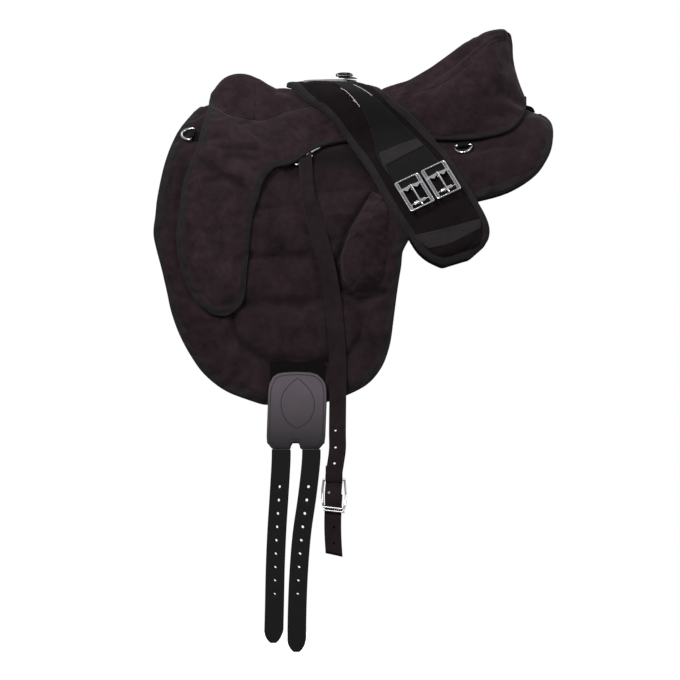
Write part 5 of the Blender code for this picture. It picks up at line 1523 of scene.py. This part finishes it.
def build_stirrup_buckle():
    """Conway buckle: top bar, curved rails, a double foot bar, and the ply folded over its window."""
    body = "stirrup_buckle_near"
    low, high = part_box(body)
    middle = (low.x + high.x) / 2
    back_y = (low.y + high.y) / 2
    front_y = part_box("stirrup_loop_near")[0].y - 0.0014
    half_y = (back_y + front_y) / 2
    left, right = low.x + 0.0035, high.x - 0.0035
    top, foot = high.z - 0.0021, low.z + 0.0004
    rods = (
        (0.0019, (left - 0.001, back_y, top), (middle, back_y, top + 0.0004), (right + 0.001, back_y, top)),
        (0.0017, (right, back_y, top), (right + 0.0014, back_y - 0.0005, top - 0.014),
         (right + 0.0026, back_y - 0.002, top - 0.028), (right + 0.0010, half_y, top - 0.041),
         (right - 0.001, front_y, foot + 0.002)),
        (0.0017, (left, back_y, top), (left - 0.0022, back_y - 0.0005, top - 0.016),
         (left - 0.0022, back_y - 0.002, top - 0.032), (left - 0.0012, half_y, top - 0.042),
         (left + 0.001, front_y, foot + 0.0062)),
        (0.0016, (left - 0.001, front_y, foot + 0.0066), (middle, front_y - 0.0004, foot + 0.0046),
         (right, front_y, foot + 0.0024)),
        (0.0016, (left, front_y, foot + 0.0012), (middle, front_y - 0.0004, foot - 0.0008),
         (right + 0.0004, front_y, foot - 0.0026)))
    metal_pair("conway_buckle_near", body, [rod(points, radius) for radius, *points in rods],
               hides=(body,), sharp=60)
    start, end = top - 0.0048, foot - 0.0040

    def place(across, down, is_outer):
        share, part = across / 4 - 1, down / 12
        x = middle + share * 0.0140 - 0.0016 * math.sin(math.pi * part)
        y = back_y + 0.0008 - 0.0052 * ease(part * 1.6) - 0.0012 * (1 - share * share)
        return Vector((x, y - (0.0016 if is_outer else -0.0016), start + (end - start) * part))

    other_side(finish_piece(padded_solid(8, 12, place), "folded_ply_near", body, STRAP_SUEDE,
                            "strap_suede", (), 1, 60))
    spot = place(2, 4, True)
    stud = rod([spot + Vector((0, 0.001, 0)), spot - Vector((0, 0.0012, 0))], 0.0022)
    metal_pair("buckle_stud_near", body, [stud], sharp=40)


def build_metal():
    build_stirrup_buckle()
    for side_name in ("near", "off"):
        rounded_metal(f"hanger_ring_{side_name}", f"hanger_loop_{side_name}", "saddle_body")
        for place in ("front", "rear"):
            rounded_metal(f"{place}_ring_{side_name}", f"{place}_dee_{side_name}")
    rounded_metal("girth_ring", "crest_dee", finish=DARK_METAL)
    arc = [on_back(at(*place), lift) for place, lift in HANGER_ARC]
    steps = [Vector(read_table(arc, step / 30)) for step in range(31)]
    metal_pair("hanger_arc_near", "saddle_body", [rod(steps, 0.0018)], sharp=60)
    build_girth_buckle("front")
    build_girth_buckle("rear")


def dress_packed_nodes():
    finishes = {"webbing": WEBBING, "suede_dark": GIRTH_SUEDE, "chrome": CHROME, "leather": BILLET_LEATHER,
                "strap_suede": STRAP_SUEDE, "foam": GIRTH_SUEDE, "stiffener": WEBBING, "suede": SUEDE}
    slots = {part["node"]: part["material_slot"] for part in frame["record"].get("subparts", [])}
    for name, node in frame["nodes"].items():
        for slot in node.material_slots:
            slot.link = "OBJECT"
            slot.material = finishes[slots.get(name, "webbing")]


# Floor, light and camera

FLOOR_HEIGHT = -0.862
PHOTO_SIDE = 680
PHOTO_MIDDLE = (340, 340)
CAMERA_AWAY = 30.0
CAMERA_RISE = math.radians(-0.5)
LAMPS = (("key", (-1.7, -2.9, 1.9), (0, 0, -0.15), 1.4, 120),
         ("side", (2.8, -2.2, 0.8), (0, 0, -0.25), 1.4, 20),
         ("front", (0, -5.0, 1.6), (0, 0, -0.3), 1.3, 45),
         ("top", (0.4, 0.5, 2.8), (0, 0, 0), 1.4, 10))


def turned_towards(way):
    return way.to_track_quat("-Z", "Y").to_euler()


def build_floor():
    bm = bmesh.new()
    bmesh.ops.create_grid(bm, x_segments=1, y_segments=1, size=6)
    bmesh.ops.translate(bm, vec=(0, 0, FLOOR_HEIGHT), verts=bm.verts[:])
    it = Finish("pale_floor", Roughness=0.9, Emission_Color=(1, 1, 1), Emission_Strength=0.95)
    it.colour(it.mix(it.noise(3, 2), (0.90, 0.90, 0.90), (0.94, 0.94, 0.94)))
    floor = new_object("studio_floor", mesh_from(bm, "studio_floor"))
    floor.data.materials.append(it.material)
    floor.visible_diffuse = floor.visible_glossy = False


def build_studio():
    """Pale floor, white surroundings, soft boxes above and ahead, and the camera."""
    build_floor()
    scene = bpy.context.scene
    world = bpy.data.worlds.new("studio")
    world.use_nodes = True
    it = Graph(world.node_tree)
    background = it.nodes["Background"]
    up = it.split(it.add("TexCoord").outputs["Generated"])[2]
    room = it.calc("MULTIPLY_ADD", up, 0.12, 0.30)
    seen = it.add("LightPath").outputs["Is Camera Ray"]
    it.give(background.inputs[1], it.calc("MAXIMUM", seen, room))
    it.give(background.inputs[0], (1, 1, 1))
    scene.world = world
    for name, place, aim, size, power in LAMPS:
        lamp = bpy.data.lights.new(name, "AREA")
        lamp.size, lamp.energy = size, power
        holder = new_object(name, lamp)
        holder.location = place
        holder.rotation_euler = turned_towards(Vector(aim) - Vector(place))
    lens = bpy.data.cameras.new("camera")
    lens.sensor_width = 36
    lens.lens = lens.sensor_width * (CAMERA_AWAY - 0.15) / (PHOTO_SIDE * STEP)
    lens.clip_end = 100
    camera = new_object("camera", lens)
    x, z = at(*PHOTO_MIDDLE)
    back = Vector((0, -math.cos(CAMERA_RISE), math.sin(CAMERA_RISE)))
    camera.location = Vector((x, 0, z)) + back * CAMERA_AWAY
    camera.rotation_euler = turned_towards(-back)
    scene.camera = camera
    scene.view_settings.view_transform = "Standard"


dress_packed_nodes()
build_cover()
build_pad()
build_thigh_block()
build_underpanel()
build_straps()
build_patch()
for billet in BILLET_LINES:
    build_billet(*billet)
build_cantle_tab()
build_girth_details(build_girth_cushion())
build_metal()
build_studio()
